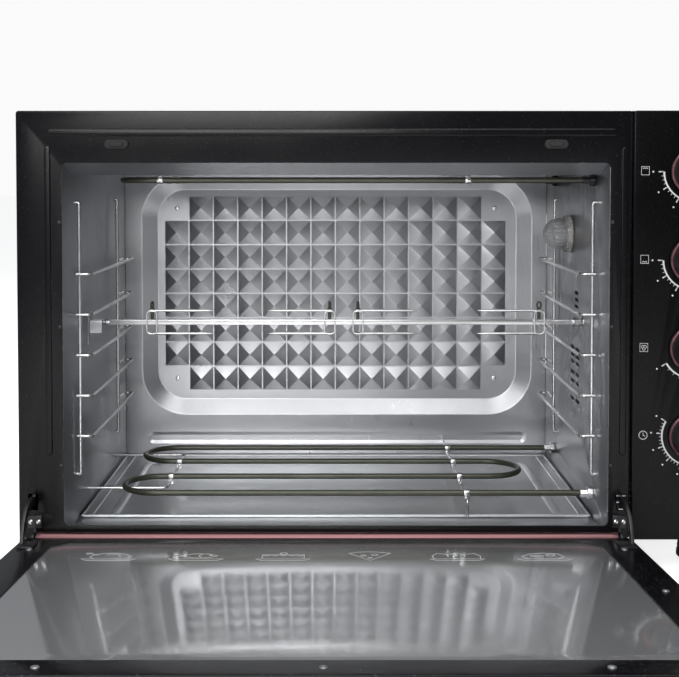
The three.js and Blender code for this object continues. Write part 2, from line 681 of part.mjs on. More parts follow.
function makeDoor(cavity) {
  const door = group(cavity, doorShift, hinge.y, hinge.z);
  door.rotation.x = openAngle;
  const side = doorWidth / 2;
  const leaf = facing(roundedOutline(-side, side, 8.3, doorHeight, 6), doorOuter, doorInner);
  const window = facing(roundedOutline(-262, 262, 44, 372, 10), doorOuter - 2, doorInner + 2);
  const innerSeat = facing(chamferedOutline(-272.3, 272.3, 31.7, 390.3, 14), doorInner - 4.8, doorInner + 1);
  const outerSeat = facing(roundedOutline(-302.3, 302.3, 19.7, 384.3, 6), doorOuter - 1, doorOuter + 4.3);
  const wall = 1.5;
  const channel = (y0, y1, seat) =>
    cut(block(wall - side, side - wall, y0, y1, 8.3 + wall, doorHeight - wall), seat);
  const innerLip = facing(chamferedOutline(-274, 274, 30, 392, 14), doorInner - 6.3, doorInner + 1);
  const outerLip = facing(roundedOutline(-304, 304, 18, 386, 6), doorOuter - 1, doorOuter + 5.8);
  const channels = [
    channel(doorOuter + 5.8, doorInner - wall, innerLip),
    channel(doorOuter + wall, doorOuter + 5.9, outerLip),
  ];
  piece(door, "door_frame", cut(leaf, window, innerSeat, outerSeat, ...channels), blackPaint);
  const innerPane = facing(chamferedOutline(-272, 272, 32, 390, 14), doorInner - 4.5, doorInner - 0.5);
  piece(door, "door_inner_glass", innerPane, darkGlass);
  const outerPane = facing(roundedOutline(-302, 302, 20, 384, 6), doorOuter, doorOuter + 4);
  piece(door, "door_outer_glass", outerPane, darkGlass);

  const rail = join(
    rod(railRadius, -297, 297, "x", 20),
    block(-296, 296, -12, 2, 3, 8),
    rod(2.7, -304, 304, "x", 12)
  );
  piece(door, "door_rail", rail, roseGold);

  const post = 215;
  const face = doorOuter - gap;
  const bar = doorOuter - 25;
  const grip = [[-post, face, 404], [-post, bar, 404], [post, bar, 404], [post, face, 404]];
  piece(door, "door_handle", tube(grip, 7, 12, 12, 5), roseGold);

  const span = (radius, from, to) =>
    Array.from({ length: 9 }, (_, i) => {
      const t = THREE.MathUtils.degToRad(from + ((to - from) * i) / 8);
      return [radius * Math.cos(t), radius * Math.sin(t)];
    });
  const strap = outline([...span(armRadius + 5, -16.5, 84.5), ...span(armRadius - 5, -16.5, 83.2).reverse()]);
  const hook = outline([...span(50, -16.5, -12).filter((_, i) => i % 4 === 0), [38, -7.5], [38, -11.2]]);
  for (const [name, sign] of [["left", -1], ["right", 1]]) {
    const x = sign * armOffset;
    const inward = Math.min(x, x - sign * 14);
    const arm = join(
      sideways(strap, x - 1.5, x + 1.5),
      sideways(hook, x - 1.5, x + 1.5),
      block(inward - 0.5, inward + 14.5, doorInner + gap, doorInner + 1.9, armRadius - 6, armRadius + 20)
    );
    piece(door, `door_arm_${name}`, arm, galvanised);
  }
}

// ---- Assembly ----

const fryer = new THREE.Group();
const body = group(fryer, 0, (doorReach - bodyDepth) / 2, 0);
const cavity = group(body, cavityShift, 0, 0);
makeCasing(body);
makeFront(body, cavity);
makeControls(body);
makeWalls(cavity);
makeBackPanel(cavity);
makeHeaters(cavity);
makeRackGuide(cavity, "left");
makeRackGuide(cavity, "right");
makeLamp(cavity);
makeRotisserie(cavity);
makeFan(cavity);
makeDoor(cavity);

export default fryer;
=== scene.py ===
import json
import math

import bmesh
import bpy
from mathutils import Matrix, Vector

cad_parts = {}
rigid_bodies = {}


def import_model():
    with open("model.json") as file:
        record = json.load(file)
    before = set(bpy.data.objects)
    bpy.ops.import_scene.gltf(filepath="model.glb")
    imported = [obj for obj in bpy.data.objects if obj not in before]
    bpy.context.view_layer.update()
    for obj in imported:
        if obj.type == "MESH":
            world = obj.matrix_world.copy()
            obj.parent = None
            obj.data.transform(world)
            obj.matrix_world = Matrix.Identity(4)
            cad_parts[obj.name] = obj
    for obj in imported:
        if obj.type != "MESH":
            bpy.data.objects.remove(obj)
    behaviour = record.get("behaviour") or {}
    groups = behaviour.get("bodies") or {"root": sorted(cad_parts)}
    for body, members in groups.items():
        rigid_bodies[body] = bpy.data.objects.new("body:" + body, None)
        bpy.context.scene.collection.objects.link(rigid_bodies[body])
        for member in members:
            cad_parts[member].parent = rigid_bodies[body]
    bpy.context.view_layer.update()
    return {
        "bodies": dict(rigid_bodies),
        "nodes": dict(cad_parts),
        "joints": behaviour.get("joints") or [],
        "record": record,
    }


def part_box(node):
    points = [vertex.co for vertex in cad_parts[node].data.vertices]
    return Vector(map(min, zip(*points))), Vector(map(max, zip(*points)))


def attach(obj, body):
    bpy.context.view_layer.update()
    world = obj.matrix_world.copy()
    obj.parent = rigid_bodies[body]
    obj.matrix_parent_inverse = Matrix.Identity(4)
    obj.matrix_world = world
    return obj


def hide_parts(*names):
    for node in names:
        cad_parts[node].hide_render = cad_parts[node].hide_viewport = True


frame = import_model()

MM = 0.001
nodes = frame["nodes"]
joints = {joint["name"]: joint for joint in frame["joints"]}
scene = bpy.context.scene


# ---- Places and sizes, in millimetres, measured on the frame ----

def span(node):
    """A node's lowest and highest corners in millimetres."""
    low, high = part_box(node)
    return Vector(low) / MM, Vector(high) / MM


def middle(node):
    low, high = span(node)
    return (low + high) / 2


panel_low, panel_high = span("cavity_back_panel")
cavity_x = (panel_low.x + panel_high.x) / 2
left_wall = span("cavity_left_wall")[1].x
right_wall = span("cavity_right_wall")[0].x
back_face = panel_low.y
front_face = span("front_frame")[1].y - 2.0
fascia_low, fascia_high = span("control_fascia")
fascia_x = (fascia_low.x + fascia_high.x) / 2
tray_low, tray_high = span("crumb_tray")
sill_top, opening_top = 48.8, 422
half_width = 280
cover_face = front_face + 448
lamp_y, lamp_z = front_face + 213, 341.5
heater_rows = [76 + 77 * n for n in range(4)]
spit_y, spit_z = middle("spit_rod").y, middle("spit_rod").z
hinge_at = Vector(joints["door_hinge"]["pos_m"]) / MM
open_angle = math.radians(joints["door_hinge"]["range_deg"][1])
DOOR_TURN = Matrix.Rotation(open_angle, 3, "X")
lower_heater_z = middle("lower_heating_element").z
upper_heater_z = middle("upper_heating_element").z


# ---- Camera ----

def make_camera():
    """An eye on the cavity's middle line, just below the top of its opening, looking slightly down."""
    data = bpy.data.cameras.new("camera")
    camera = bpy.data.objects.new("camera", data)
    scene.collection.objects.link(camera)
    data.sensor_width = 36.0
    data.lens = 65.4
    data.shift_x = 0.0066
    data.shift_y = -0.161
    data.clip_start = 0.05
    tilt = math.radians(2.1)
    camera.location = ((cavity_x - 1.0) * MM, (front_face - 1258.0) * MM, 0.4006)
    camera.rotation_euler = (math.pi / 2 - tilt, 0.0, 0.0)
    scene.camera = camera


make_camera()


# ---- Shader node groups shared by several materials ----

def shader_group(name, inputs, outputs):
    tree = bpy.data.node_groups.new(name, "ShaderNodeTree")
    for label, value in inputs.items():
        socket = tree.interface.new_socket(label, in_out="INPUT", socket_type="NodeSocketFloat")
        socket.default_value = value
    for label in outputs:
        tree.interface.new_socket(label, in_out="OUTPUT", socket_type="NodeSocketFloat")
    return tree, tree.nodes.new("NodeGroupInput"), tree.nodes.new("NodeGroupOutput")


def node(tree, kind, **settings):
    made = tree.nodes.new(kind)
    for key, value in settings.items():
        setattr(made, key, value)
    return made


def math_node(tree, operation, first, second=None, clamp=False):
    """A maths node on sockets or numbers, giving its output socket."""
    made = node(tree, "ShaderNodeMath", operation=operation, use_clamp=clamp)
    for slot, value in enumerate((first, second)):
        if value is None:
            continue
        if isinstance(value, (int, float)):
            made.inputs[slot].default_value = value
        else:
            tree.links.new(value, made.inputs[slot])
    return made.outputs[0]


def noise_socket(tree, vector, scale, detail=2.0, roughness=0.5):
    made = node(tree, "ShaderNodeTexNoise")
    made.inputs["Detail"].default_value = detail
    made.inputs["Roughness"].default_value = roughness
    if isinstance(scale, (int, float)):
        made.inputs["Scale"].default_value = scale
    else:
        tree.links.new(scale, made.inputs["Scale"])
    tree.links.new(vector, made.inputs["Vector"])
    return made.outputs["Fac"]


def make_worn_edges():
    """Mask of the outer edges, broken up by noise, where a finish is rubbed thin."""
    tree, given, result = shader_group("worn_edges", {"Width": 0.001, "Gain": 4.0, "Breakup": 60.0}, ["Mask"])
    coordinates = node(tree, "ShaderNodeTexCoord")
    bevel = node(tree, "ShaderNodeBevel", samples=4)
    tree.links.new(given.outputs["Width"], bevel.inputs["Radius"])
    geometry = node(tree, "ShaderNodeNewGeometry")
    facing = node(tree, "ShaderNodeVectorMath", operation="DOT_PRODUCT")
    tree.links.new(bevel.outputs["Normal"], facing.inputs[0])
    tree.links.new(geometry.outputs["Normal"], facing.inputs[1])
    turned_away = math_node(tree, "SUBTRACT", 1.0, facing.outputs["Value"])
    gained = math_node(tree, "MULTIPLY", turned_away, given.outputs["Gain"], clamp=True)
    patches = noise_socket(tree, coordinates.outputs["Object"], given.outputs["Breakup"], 4.0, 0.65)
    broken = math_node(tree, "MULTIPLY", math_node(tree, "SUBTRACT", patches, 0.38), 3.2, clamp=True)
    tree.links.new(math_node(tree, "MULTIPLY", gained, broken), result.inputs["Mask"])
    return tree


def make_drawn_grain():
    """Fine parallel lines of rolled or brushed metal, with slow changes of tone across them."""
    inputs = {"Across X": 1.0, "Across Y": 1.0, "Across Z": 1.0, "Fineness": 900.0}
    tree, given, result = shader_group("drawn_grain", inputs, ["Lines", "Tone"])
    coordinates = node(tree, "ShaderNodeTexCoord")
    stretch = node(tree, "ShaderNodeCombineXYZ")
    for axis in "XYZ":
        tree.links.new(given.outputs[f"Across {axis}"], stretch.inputs[axis])
    scaled = node(tree, "ShaderNodeVectorMath", operation="MULTIPLY")
    tree.links.new(coordinates.outputs["Object"], scaled.inputs[0])
    tree.links.new(stretch.outputs[0], scaled.inputs[1])
    lines = noise_socket(tree, scaled.outputs[0], given.outputs["Fineness"], 3.0, 0.6)
    wide = math_node(tree, "MULTIPLY", given.outputs["Fineness"], 0.06)
    tone = noise_socket(tree, scaled.outputs[0], wide, 2.0, 0.5)
    tree.links.new(lines, result.inputs["Lines"])
    tree.links.new(tone, result.inputs["Tone"])
    return tree


def make_handling():
    """Smears left by hands and cloths, and the dust that settles on upward faces."""
    inputs = {"Smear Scale": 9.0, "Dust Scale": 420.0}
    tree, given, result = shader_group("handling", inputs, ["Smears", "Dust"])
    coordinates = node(tree, "ShaderNodeTexCoord")
    smears = noise_socket(tree, coordinates.outputs["Object"], given.outputs["Smear Scale"], 5.0, 0.6)
    tree.links.new(smears, result.inputs["Smears"])
    specks = noise_socket(tree, coordinates.outputs["Object"], given.outputs["Dust Scale"], 2.0, 0.5)
    sparse = math_node(tree, "MULTIPLY", math_node(tree, "SUBTRACT", specks, 0.62), 9.0, clamp=True)
    split = node(tree, "ShaderNodeSeparateXYZ")
    tree.links.new(coordinates.outputs["Normal"], split.inputs[0])
    upward = math_node(tree, "MAXIMUM", split.outputs["Z"], 0.12, clamp=True)
    tree.links.new(math_node(tree, "MULTIPLY", sparse, upward), result.inputs["Dust"])
    return tree


WORN_EDGES = make_worn_edges()
DRAWN_GRAIN = make_drawn_grain()
HANDLING = make_handling()


# ---- Materials ----

class Finish:
    """One material: its Principled shader with a few ways to vary it."""

    def __init__(self, name, color, roughness, metallic=0.0, **constants):
        self.material = bpy.data.materials.new(name)
        self.material.use_nodes = True
        self.tree = self.material.node_tree
        self.shader = self.tree.nodes["Principled BSDF"]
        self.color_value = (*color, 1.0)
        self.rough_value = roughness
        self.shader.inputs["Base Color"].default_value = self.color_value
        self.shader.inputs["Roughness"].default_value = roughness
        self.shader.inputs["Metallic"].default_value = metallic
        for label, value in constants.items():
            self.shader.inputs[label.replace("_", " ")].default_value = value
        self.color = None
        self.rough = None
        self.coordinates = node(self.tree, "ShaderNodeTexCoord").outputs["Object"]

    def group(self, tree, **values):
        made = node(self.tree, "ShaderNodeGroup", node_tree=tree)
        for label, value in values.items():
            made.inputs[label.replace("_", " ")].default_value = value
        return made.outputs

    def noise(self, scale, detail=2.0, roughness=0.5):
        return noise_socket(self.tree, self.coordinates, scale, detail, roughness)

    def tint(self, mask, color, strength=1.0):
        """Mixes another colour in where the mask is high."""
        mix = node(self.tree, "ShaderNodeMix", data_type="RGBA")
        factor = math_node(self.tree, "MULTIPLY", mask, strength, clamp=True)
        self.tree.links.new(factor, mix.inputs["Factor"])
        if self.color is None:
            mix.inputs[6].default_value = self.color_value
        else:
            self.tree.links.new(self.color, mix.inputs[6])
        mix.inputs[7].default_value = (*color, 1.0)
        self.color = mix.outputs[2]
        return self

    def roughen(self, mask, low, high):
        """Adds roughness from low to high as the mask goes from 0 to 1."""
        ranged = node(self.tree, "ShaderNodeMapRange")
        ranged.inputs["To Min"].default_value = low
        ranged.inputs["To Max"].default_value = high
        self.tree.links.new(mask, ranged.inputs["Value"])
        base = self.rough_value if self.rough is None else self.rough
        self.rough = math_node(self.tree, "ADD", ranged.outputs[0], base, clamp=True)
        return self

    def bump(self, height, depth, strength=0.5):
        made = node(self.tree, "ShaderNodeBump")
        made.inputs["Strength"].default_value = strength
        made.inputs["Distance"].default_value = depth
        self.tree.links.new(height, made.inputs["Height"])
        socket = self.shader.inputs["Normal"]
        if socket.is_linked:
            self.tree.links.new(socket.links[0].from_socket, made.inputs["Normal"])
        self.tree.links.new(made.outputs["Normal"], socket)
        return self

    def done(self):
        if self.color is not None:
            self.tree.links.new(self.color, self.shader.inputs["Base Color"])
        if self.rough is not None:
            self.tree.links.new(self.rough, self.shader.inputs["Roughness"])
        return self.material


def black_enamel():
    finish = Finish("black_enamel", (0.0025, 0.0025, 0.0035), 0.2, Specular_IOR_Level=0.24)
    hands = finish.group(HANDLING, Smear_Scale=7.0)
    worn = finish.group(WORN_EDGES, Width=0.0009, Gain=2.5)
    finish.tint(worn["Mask"], (0.11, 0.11, 0.115), 0.5).tint(hands["Dust"], (0.3, 0.3, 0.29), 0.25)
    finish.roughen(hands["Smears"], -0.07, 0.12)
    return finish.bump(finish.noise(140.0, 2.0), 0.0004, 0.06).done()


def powder_coat():
    finish = Finish("powder_coat", (0.016, 0.016, 0.018), 0.46)
    hands = finish.group(HANDLING, Smear_Scale=5.0)
    worn = finish.group(WORN_EDGES, Width=0.0012, Gain=3.0)
    finish.tint(worn["Mask"], (0.16, 0.16, 0.165), 0.5).tint(hands["Dust"], (0.34, 0.33, 0.31), 0.35)
    finish.roughen(hands["Smears"], -0.08, 0.14)
    return finish.bump(finish.noise(1500.0, 3.0, 0.6), 0.0005, 0.28).done()


def panel_moulding():
    finish = Finish("panel_moulding", (0.0015, 0.0015, 0.0018), 0.2, Specular_IOR_Level=0.18)
    hands = finish.group(HANDLING, Smear_Scale=12.0)
    finish.tint(hands["Dust"], (0.28, 0.28, 0.27), 0.2).roughen(hands["Smears"], -0.06, 0.14)
    return finish.bump(finish.noise(600.0, 2.0), 0.0003, 0.05).done()


def knob_moulding():
    finish = Finish("knob_moulding", (0.014, 0.014, 0.015), 0.33)
    hands = finish.group(HANDLING, Smear_Scale=30.0)
    worn = finish.group(WORN_EDGES, Width=0.0008, Gain=3.0)
    finish.tint(worn["Mask"], (0.07, 0.07, 0.07), 0.7).roughen(hands["Smears"], -0.1, 0.14)
    return finish.bump(finish.noise(1900.0, 2.0), 0.0003, 0.12).done()


def coated_steel(name, color, across):
    """Satin steel sheet of the cavity, with the faint lines of the rolling mill; its colour is set per
    surface as painted light and shade.
    """
    finish = Finish(name, color, 0.27, 1.0)
    across_x, across_y, across_z = across
    grain = finish.group(DRAWN_GRAIN, Fineness=520.0, Across_X=across_x, Across_Y=across_y, Across_Z=across_z)
    hands = finish.group(HANDLING, Smear_Scale=6.0, Dust_Scale=260.0)
    finish.tint(grain["Tone"], tuple(c * 0.72 for c in color), 0.55)
    finish.tint(finish.noise(3.2, 3.0), tuple(min(1.0, c * 1.22) for c in color), 0.4)
    finish.tint(hands["Dust"], (0.16, 0.14, 0.11), 0.2)
    finish.roughen(hands["Smears"], -0.05, 0.1).roughen(grain["Lines"], -0.04, 0.06)
    return finish.bump(grain["Lines"], 0.0001, 0.05).done()


def galvanised():
    """Zinc-coated sheet with its leafy spangle."""
    finish = Finish("galvanised", (0.46, 0.47, 0.48), 0.42, 1.0)
    spangle = node(finish.tree, "ShaderNodeTexVoronoi")
    spangle.inputs["Scale"].default_value = 130.0
    finish.tree.links.new(finish.coordinates, spangle.inputs["Vector"])
    split = node(finish.tree, "ShaderNodeSeparateColor")
    finish.tree.links.new(spangle.outputs["Color"], split.inputs[0])
    finish.tint(split.outputs["Red"], (0.3, 0.31, 0.33), 0.6)
    finish.roughen(split.outputs["Green"], -0.12, 0.16)
    return finish.bump(finish.noise(700.0, 2.0), 0.0003, 0.08).done()


def bright_wire():
    finish = Finish("bright_wire", (0.84, 0.84, 0.85), 0.18, 1.0)
    grain = finish.group(DRAWN_GRAIN, Fineness=700.0, Across_X=1.0, Across_Y=0.2, Across_Z=0.3)
    finish.tint(finish.noise(55.0, 4.0, 0.6), (0.42, 0.4, 0.38), 0.5)
    finish.roughen(finish.noise(30.0, 3.0), -0.05, 0.16)
    return finish.bump(grain["Lines"], 0.0001, 0.12).done()


def heater_sheath():
    """Dark olive oxide on the heater tubes, mottled by heat."""
    finish = Finish("heater_sheath", (0.11, 0.113, 0.085), 0.34, 0.6)
    finish.tint(finish.noise(26.0, 4.0, 0.65), (0.035, 0.036, 0.03), 0.8)
    finish.tint(finish.noise(160.0, 3.0, 0.6), (0.13, 0.13, 0.1), 0.28)
    finish.roughen(finish.noise(70.0, 3.0), -0.12, 0.14)
    return finish.bump(finish.noise(900.0, 3.0), 0.0002, 0.2).done()


def rose_gold():
    finish = Finish("rose_gold", (0.23, 0.12, 0.127), 0.26, 1.0)
    grain = finish.group(DRAWN_GRAIN, Fineness=1100.0, Across_X=0.02, Across_Y=1.0, Across_Z=1.0)
    hands = finish.group(HANDLING, Smear_Scale=14.0)
    finish.tint(grain["Tone"], (0.17, 0.08, 0.086), 0.5).roughen(hands["Smears"], -0.05, 0.12)
    return finish.bump(grain["Lines"], 0.00005, 0.08).done()


def soft_rubber():
    finish = Finish("soft_rubber", (0.013, 0.013, 0.014), 0.75)
    hands = finish.group(HANDLING, Smear_Scale=20.0, Dust_Scale=600.0)
    finish.tint(hands["Dust"], (0.2, 0.19, 0.18), 0.5).roughen(hands["Smears"], -0.12, 0.1)
    return finish.bump(finish.noise(1300.0, 3.0), 0.0004, 0.25).done()


def clear_glass():
    finish = Finish("clear_glass", (0.97, 0.975, 0.98), 0.1, 0.0, Transmission_Weight=0.8, IOR=1.45)
    finish.roughen(finish.noise(40.0, 3.0), -0.05, 0.1)
    return finish.bump(finish.noise(180.0, 2.0), 0.0006, 0.12).done()


def door_glass():
    """Tempered pane with a grey heat-reflecting coat."""
    finish = Finish("door_glass", (0.68, 0.69, 0.7), 0.03, 0.62, Transmission_Weight=0.4, IOR=2.0)
    hands = finish.group(HANDLING, Smear_Scale=8.0)
    finish.roughen(hands["Smears"], 0.0, 0.12).tint(hands["Dust"], (0.5, 0.5, 0.5), 0.3)
    return finish.bump(finish.noise(4.0, 1.0), 0.0006, 0.04).done()


def tinted_glass():
    """Dark outer pane of the door."""
    finish = Finish("tinted_glass", (0.12, 0.12, 0.125), 0.03, 0.0, Transmission_Weight=0.9, IOR=1.5)
    hands = finish.group(HANDLING, Smear_Scale=8.0)
    finish.roughen(hands["Smears"], 0.0, 0.1).tint(hands["Dust"], (0.3, 0.3, 0.3), 0.3)
    return finish.bump(finish.noise(4.0, 1.0), 0.0006, 0.03).done()


def dark_steel():
    """Spring steel with a dark phosphate finish, rubbed bright along its edges."""
    finish = Finish("dark_steel", (0.05, 0.05, 0.053), 0.36, 0.8)
    worn = finish.group(WORN_EDGES, Width=0.0007, Gain=4.0)
    finish.tint(worn["Mask"], (0.5, 0.48, 0.48), 0.6).roughen(finish.noise(40.0, 3.0), -0.06, 0.12)
    return finish.bump(finish.noise(800.0, 2.0), 0.0002, 0.1).done()


def ceramic():
    finish = Finish("ceramic", (0.72, 0.68, 0.58), 0.6)
    finish.tint(finish.noise(90.0, 4.0), (0.56, 0.5, 0.4), 0.5)
    return finish.bump(finish.noise(1000.0, 3.0), 0.0003, 0.2).done()


def phenolic():
    finish = Finish("phenolic", (0.05, 0.042, 0.036), 0.5)
    finish.tint(finish.noise(300.0, 4.0), (0.09, 0.075, 0.06), 0.5)
    return finish.bump(finish.noise(1200.0, 3.0), 0.0003, 0.15).done()


def printed_white():
    """Fired white ink, thinner in places."""
    finish = Finish("printed_white", (0.72, 0.72, 0.72), 0.45)
    finish.tint(finish.noise(700.0, 3.0), (0.5, 0.5, 0.5), 0.6)
    return finish.bump(finish.noise(1500.0, 2.0), 0.0001, 0.1).done()


def amber_lens():
    finish = Finish("amber_lens", (0.55, 0.07, 0.015), 0.15, 0.0, Transmission_Weight=0.5)
    finish.tint(finish.noise(200.0, 2.0), (0.7, 0.16, 0.03), 0.5)
    return finish.bump(finish.noise(400.0, 2.0), 0.0003, 0.1).done()


def copper_winding():
    finish = Finish("copper_winding", (0.5, 0.2, 0.09), 0.3, 1.0)
    grain = finish.group(DRAWN_GRAIN, Fineness=1400.0, Across_X=1.0, Across_Y=0.05, Across_Z=0.05)
    finish.tint(grain["Lines"], (0.16, 0.05, 0.02), 0.7)
    return finish.bump(grain["Lines"], 0.0004, 0.5).done()


ENAMEL = black_enamel()
COAT = powder_coat()
MOULDING = panel_moulding()
KNOB = knob_moulding()
# One cavity steel at three brightnesses as painted light and shade: darkest on the side walls, middle on the
# back, lightest on the floor, crumb tray and ceiling.
WALL_STEEL_PAINTED_SHADE = coated_steel("wall_steel", (0.36, 0.365, 0.38), (1.0, 1.0, 0.03))
BACK_STEEL_PAINTED_MIDTONE = coated_steel("back_steel", (0.5, 0.505, 0.52), (1.0, 1.0, 0.03))
FLOOR_STEEL_PAINTED_LIGHT = coated_steel("floor_steel", (0.6, 0.61, 0.625), (0.03, 1.0, 1.0))
ZINC = galvanised()
DARK_STEEL = dark_steel()
WIRE = bright_wire()
SHEATH = heater_sheath()
ROSE = rose_gold()
RUBBER = soft_rubber()
GLASS = clear_glass()
PANE = door_glass()
DARK_PANE = tinted_glass()
CERAMIC = ceramic()
PHENOLIC = phenolic()
INK = printed_white()
AMBER = amber_lens()
COPPER = copper_winding()


# ---- Making pieces ----

def finished(mesh, smooth_angle=35.0):
    """Turns a closed mesh's faces outwards and shades it smooth up to an angle."""
    work = bmesh.new()
    work.from_mesh(mesh)
    if work.calc_volume(signed=True) < 0:
        bmesh.ops.reverse_faces(work, faces=work.faces)
    work.to_mesh(mesh)
    work.free()
    mesh.shade_smooth()
    mesh.set_sharp_from_angle(angle=math.radians(smooth_angle))
    return mesh


def piece(name, mesh, body, material, stands_for=(), smooth_angle=35.0):
    made = bpy.data.objects.new(name, finished(mesh, smooth_angle))
    scene.collection.objects.link(made)
    mesh.materials.clear()
    mesh.materials.append(material)
    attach(made, body)
    if stands_for:
        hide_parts(*stands_for)
    return made


def mesh_of(vertices, faces=(), edges=()):
    mesh = bpy.data.meshes.new("made")
    mesh.from_pydata([tuple(Vector(v) * MM) for v in vertices], list(edges), list(faces))
    mesh.update()
    return mesh


def merged(meshes):
    work = bmesh.new()
    for mesh in meshes:
        work.from_mesh(mesh)
    made = bpy.data.meshes.new("merged")
    work.to_mesh(made)
    work.free()
    return made


def after_modifiers(mesh, *modifiers):
    """The mesh that a list of (type, settings) modifiers leaves."""
    holder = bpy.data.objects.new("holder", mesh)
    scene.collection.objects.link(holder)
    for kind, settings in modifiers:
        modifier = holder.modifiers.new(kind.lower(), kind)
        for key, value in settings.items():
            setattr(modifier, key, value)
    graph = bpy.context.evaluated_depsgraph_get()
    made = bpy.data.meshes.new_from_object(holder.evaluated_get(graph))
    bpy.data.objects.remove(holder)
    return made


def bevelled(mesh, width, segments=3, angle=28.0):
    settings = {
        "width": width * MM, "segments": segments, "limit_method": "ANGLE",
        "angle_limit": math.radians(angle), "use_clamp_overlap": True, "harden_normals": False,
    }
    return after_modifiers(mesh, ("BEVEL", settings))


def solid_copy(node_name):
    """A node's mesh with its vertices merged and its flat faces whole again."""
    work = bmesh.new()
    work.from_mesh(nodes[node_name].data)
    bmesh.ops.remove_doubles(work, verts=work.verts, dist=2e-6)
    bmesh.ops.dissolve_limit(work, angle_limit=math.radians(0.6), verts=work.verts, edges=work.edges)
    made = bpy.data.meshes.new("copy")
    work.to_mesh(made)
    work.free()
    return made


def edged(node_name, name, body, material, width=0.4, segments=3):
    """A node's own shape with softened edges, standing for it."""
    mesh = bevelled(solid_copy(node_name), width, segments)
    return piece(name, mesh, body, material, [node_name])


def brick(low, high, width=0.0, segments=3):
    """A box between two corners, its edges rounded by width."""
    work = bmesh.new()
    bmesh.ops.create_cube(work, size=1.0)
    low, high = Vector(low), Vector(high)
    for vertex in work.verts:
        vertex.co = Vector([(low[i] + (vertex.co[i] + 0.5) * (high[i] - low[i])) * MM for i in range(3)])
    mesh = bpy.data.meshes.new("brick")
    work.to_mesh(mesh)
    work.free()
    return bevelled(mesh, width, segments) if width else mesh


AXES = {
    "x": Matrix(((0, 0, 1), (1, 0, 0), (0, 1, 0))),
    "y": Matrix(((0, 1, 0), (0, 0, 1), (1, 0, 0))),
    "z": Matrix.Identity(3),
}


def turned(profile, axis, centre, segments=48, flutes=0, flute_depth=0.0):
    """A profile of (radius, height) turned about an axis through centre, with optional flutes."""
    rows = []
    vertices = []
    for radius, height in profile:
        if radius < 1e-6:
            rows.append([len(vertices)])
            vertices.append((0.0, 0.0, height))
            continue
        ring = []
        for i in range(segments):
            angle = 2 * math.pi * i / segments
            grown = radius + flute_depth * (math.cos(flutes * angle) - 1) / 2 if flutes else radius
            ring.append(len(vertices))
            vertices.append((grown * math.cos(angle), grown * math.sin(angle), height))
        rows.append(ring)
    faces = []
    for low, high in zip(rows, rows[1:] if len(rows[0]) == 1 else rows[1:] + rows[:1]):
        for i in range(segments):
            j = (i + 1) % segments
            if len(low) == 1 and len(high) == 1:
                continue
            if len(low) == 1:
                faces.append((low[0], high[j], high[i]))
            elif len(high) == 1:
                faces.append((low[i], low[j], high[0]))
            else:
                faces.append((low[i], low[j], high[j], high[i]))
    turn = AXES[axis]
    return mesh_of([Vector(centre) + turn @ Vector(v) for v in vertices], faces)


def rounded(profile, radius, steps=4):
    """A profile with each inner corner rounded by up to radius."""
    points = [Vector(p) for p in profile]
    made = [points[0]]
    for before, corner, after in zip(points, points[1:], points[2:]):
        into, out = (corner - before), (after - corner)
        reach = min(radius, into.length * 0.45, out.length * 0.45)
        start, end = corner - into.normalized() * reach, corner + out.normalized() * reach
        for k in range(steps + 1):
            t = k / steps
            made.append(start * (1 - t) ** 2 + corner * 2 * t * (1 - t) + end * t * t)
    return [tuple(p) for p in made + [points[-1]]]


def route(corners, bend, steps=10):
    """Points along straight runs joined by round bends."""
    points = [Vector(corner) for corner in corners]
    made = [points[0]]
    for before, corner, after in zip(points, points[1:], points[2:]):
        into, out = (corner - before).normalized(), (after - corner).normalized()
        angle = into.angle(out)
        inward = (out - into * into.dot(out)).normalized()
        start = corner - into * bend * math.tan(angle / 2)
        for k in range(steps + 1):
            t = angle * k / steps
            made.append(start + inward * bend * (1 - math.cos(t)) + into * bend * math.sin(t))
    made.append(points[-1])
    return [p for i, p in enumerate(made) if i == 0 or (p - made[i - 1]).length > 0.02]


# ---- Geometry Nodes trees ----

class Growth:
    """A Geometry Nodes tree built by code: named inputs, maths on sockets, one mesh out."""

    def __init__(self, name, inputs):
        self.tree = bpy.data.node_groups.new(name, "GeometryNodeTree")
        interface = self.tree.interface
        interface.new_socket("Geometry", in_out="OUTPUT", socket_type="NodeSocketGeometry")
        interface.new_socket("Geometry", in_out="INPUT", socket_type="NodeSocketGeometry")
        for label, kind in inputs.items():
            interface.new_socket(label, in_out="INPUT", socket_type="NodeSocket" + kind)
        self.given = self.tree.nodes.new("NodeGroupInput").outputs

    def add(self, kind, links=(), **settings):
        made = node(self.tree, kind, **settings)
        for label, value in dict(links).items():
            socket = made.inputs[label]
            if isinstance(value, bpy.types.NodeSocket):
                self.tree.links.new(value, socket)
            else:
                socket.default_value = value
        return made.outputs

    def maths(self, operation, first, second=None):
        return math_node(self.tree, operation, first, second)

    def finish(self, geometry, material):
        real = self.add("GeometryNodeRealizeInstances", {"Geometry": geometry})
        dressed = self.add("GeometryNodeSetMaterial", {"Geometry": real[0], "Material": material})
        self.tree.links.new(dressed[0], self.tree.nodes.new("NodeGroupOutput").inputs[0])
        return self.tree


def grow(tree, source=None, **values):
    """Runs a tree on a source mesh with its inputs set, and gives the plain mesh that it makes."""
    holder = bpy.data.objects.new("holder", source or bpy.data.meshes.new("seed"))
    scene.collection.objects.link(holder)
    modifier = holder.modifiers.new("growth", "NODES")
    modifier.node_group = tree
    for item in tree.interface.items_tree:
        label = item.name.replace(" ", "_").lower()
        if item.in_out == "INPUT" and label in values:
            modifier[item.identifier] = values[label]
    graph = bpy.context.evaluated_depsgraph_get()
    made = bpy.data.meshes.new_from_object(holder.evaluated_get(graph))
    bpy.data.objects.remove(holder)
    return made


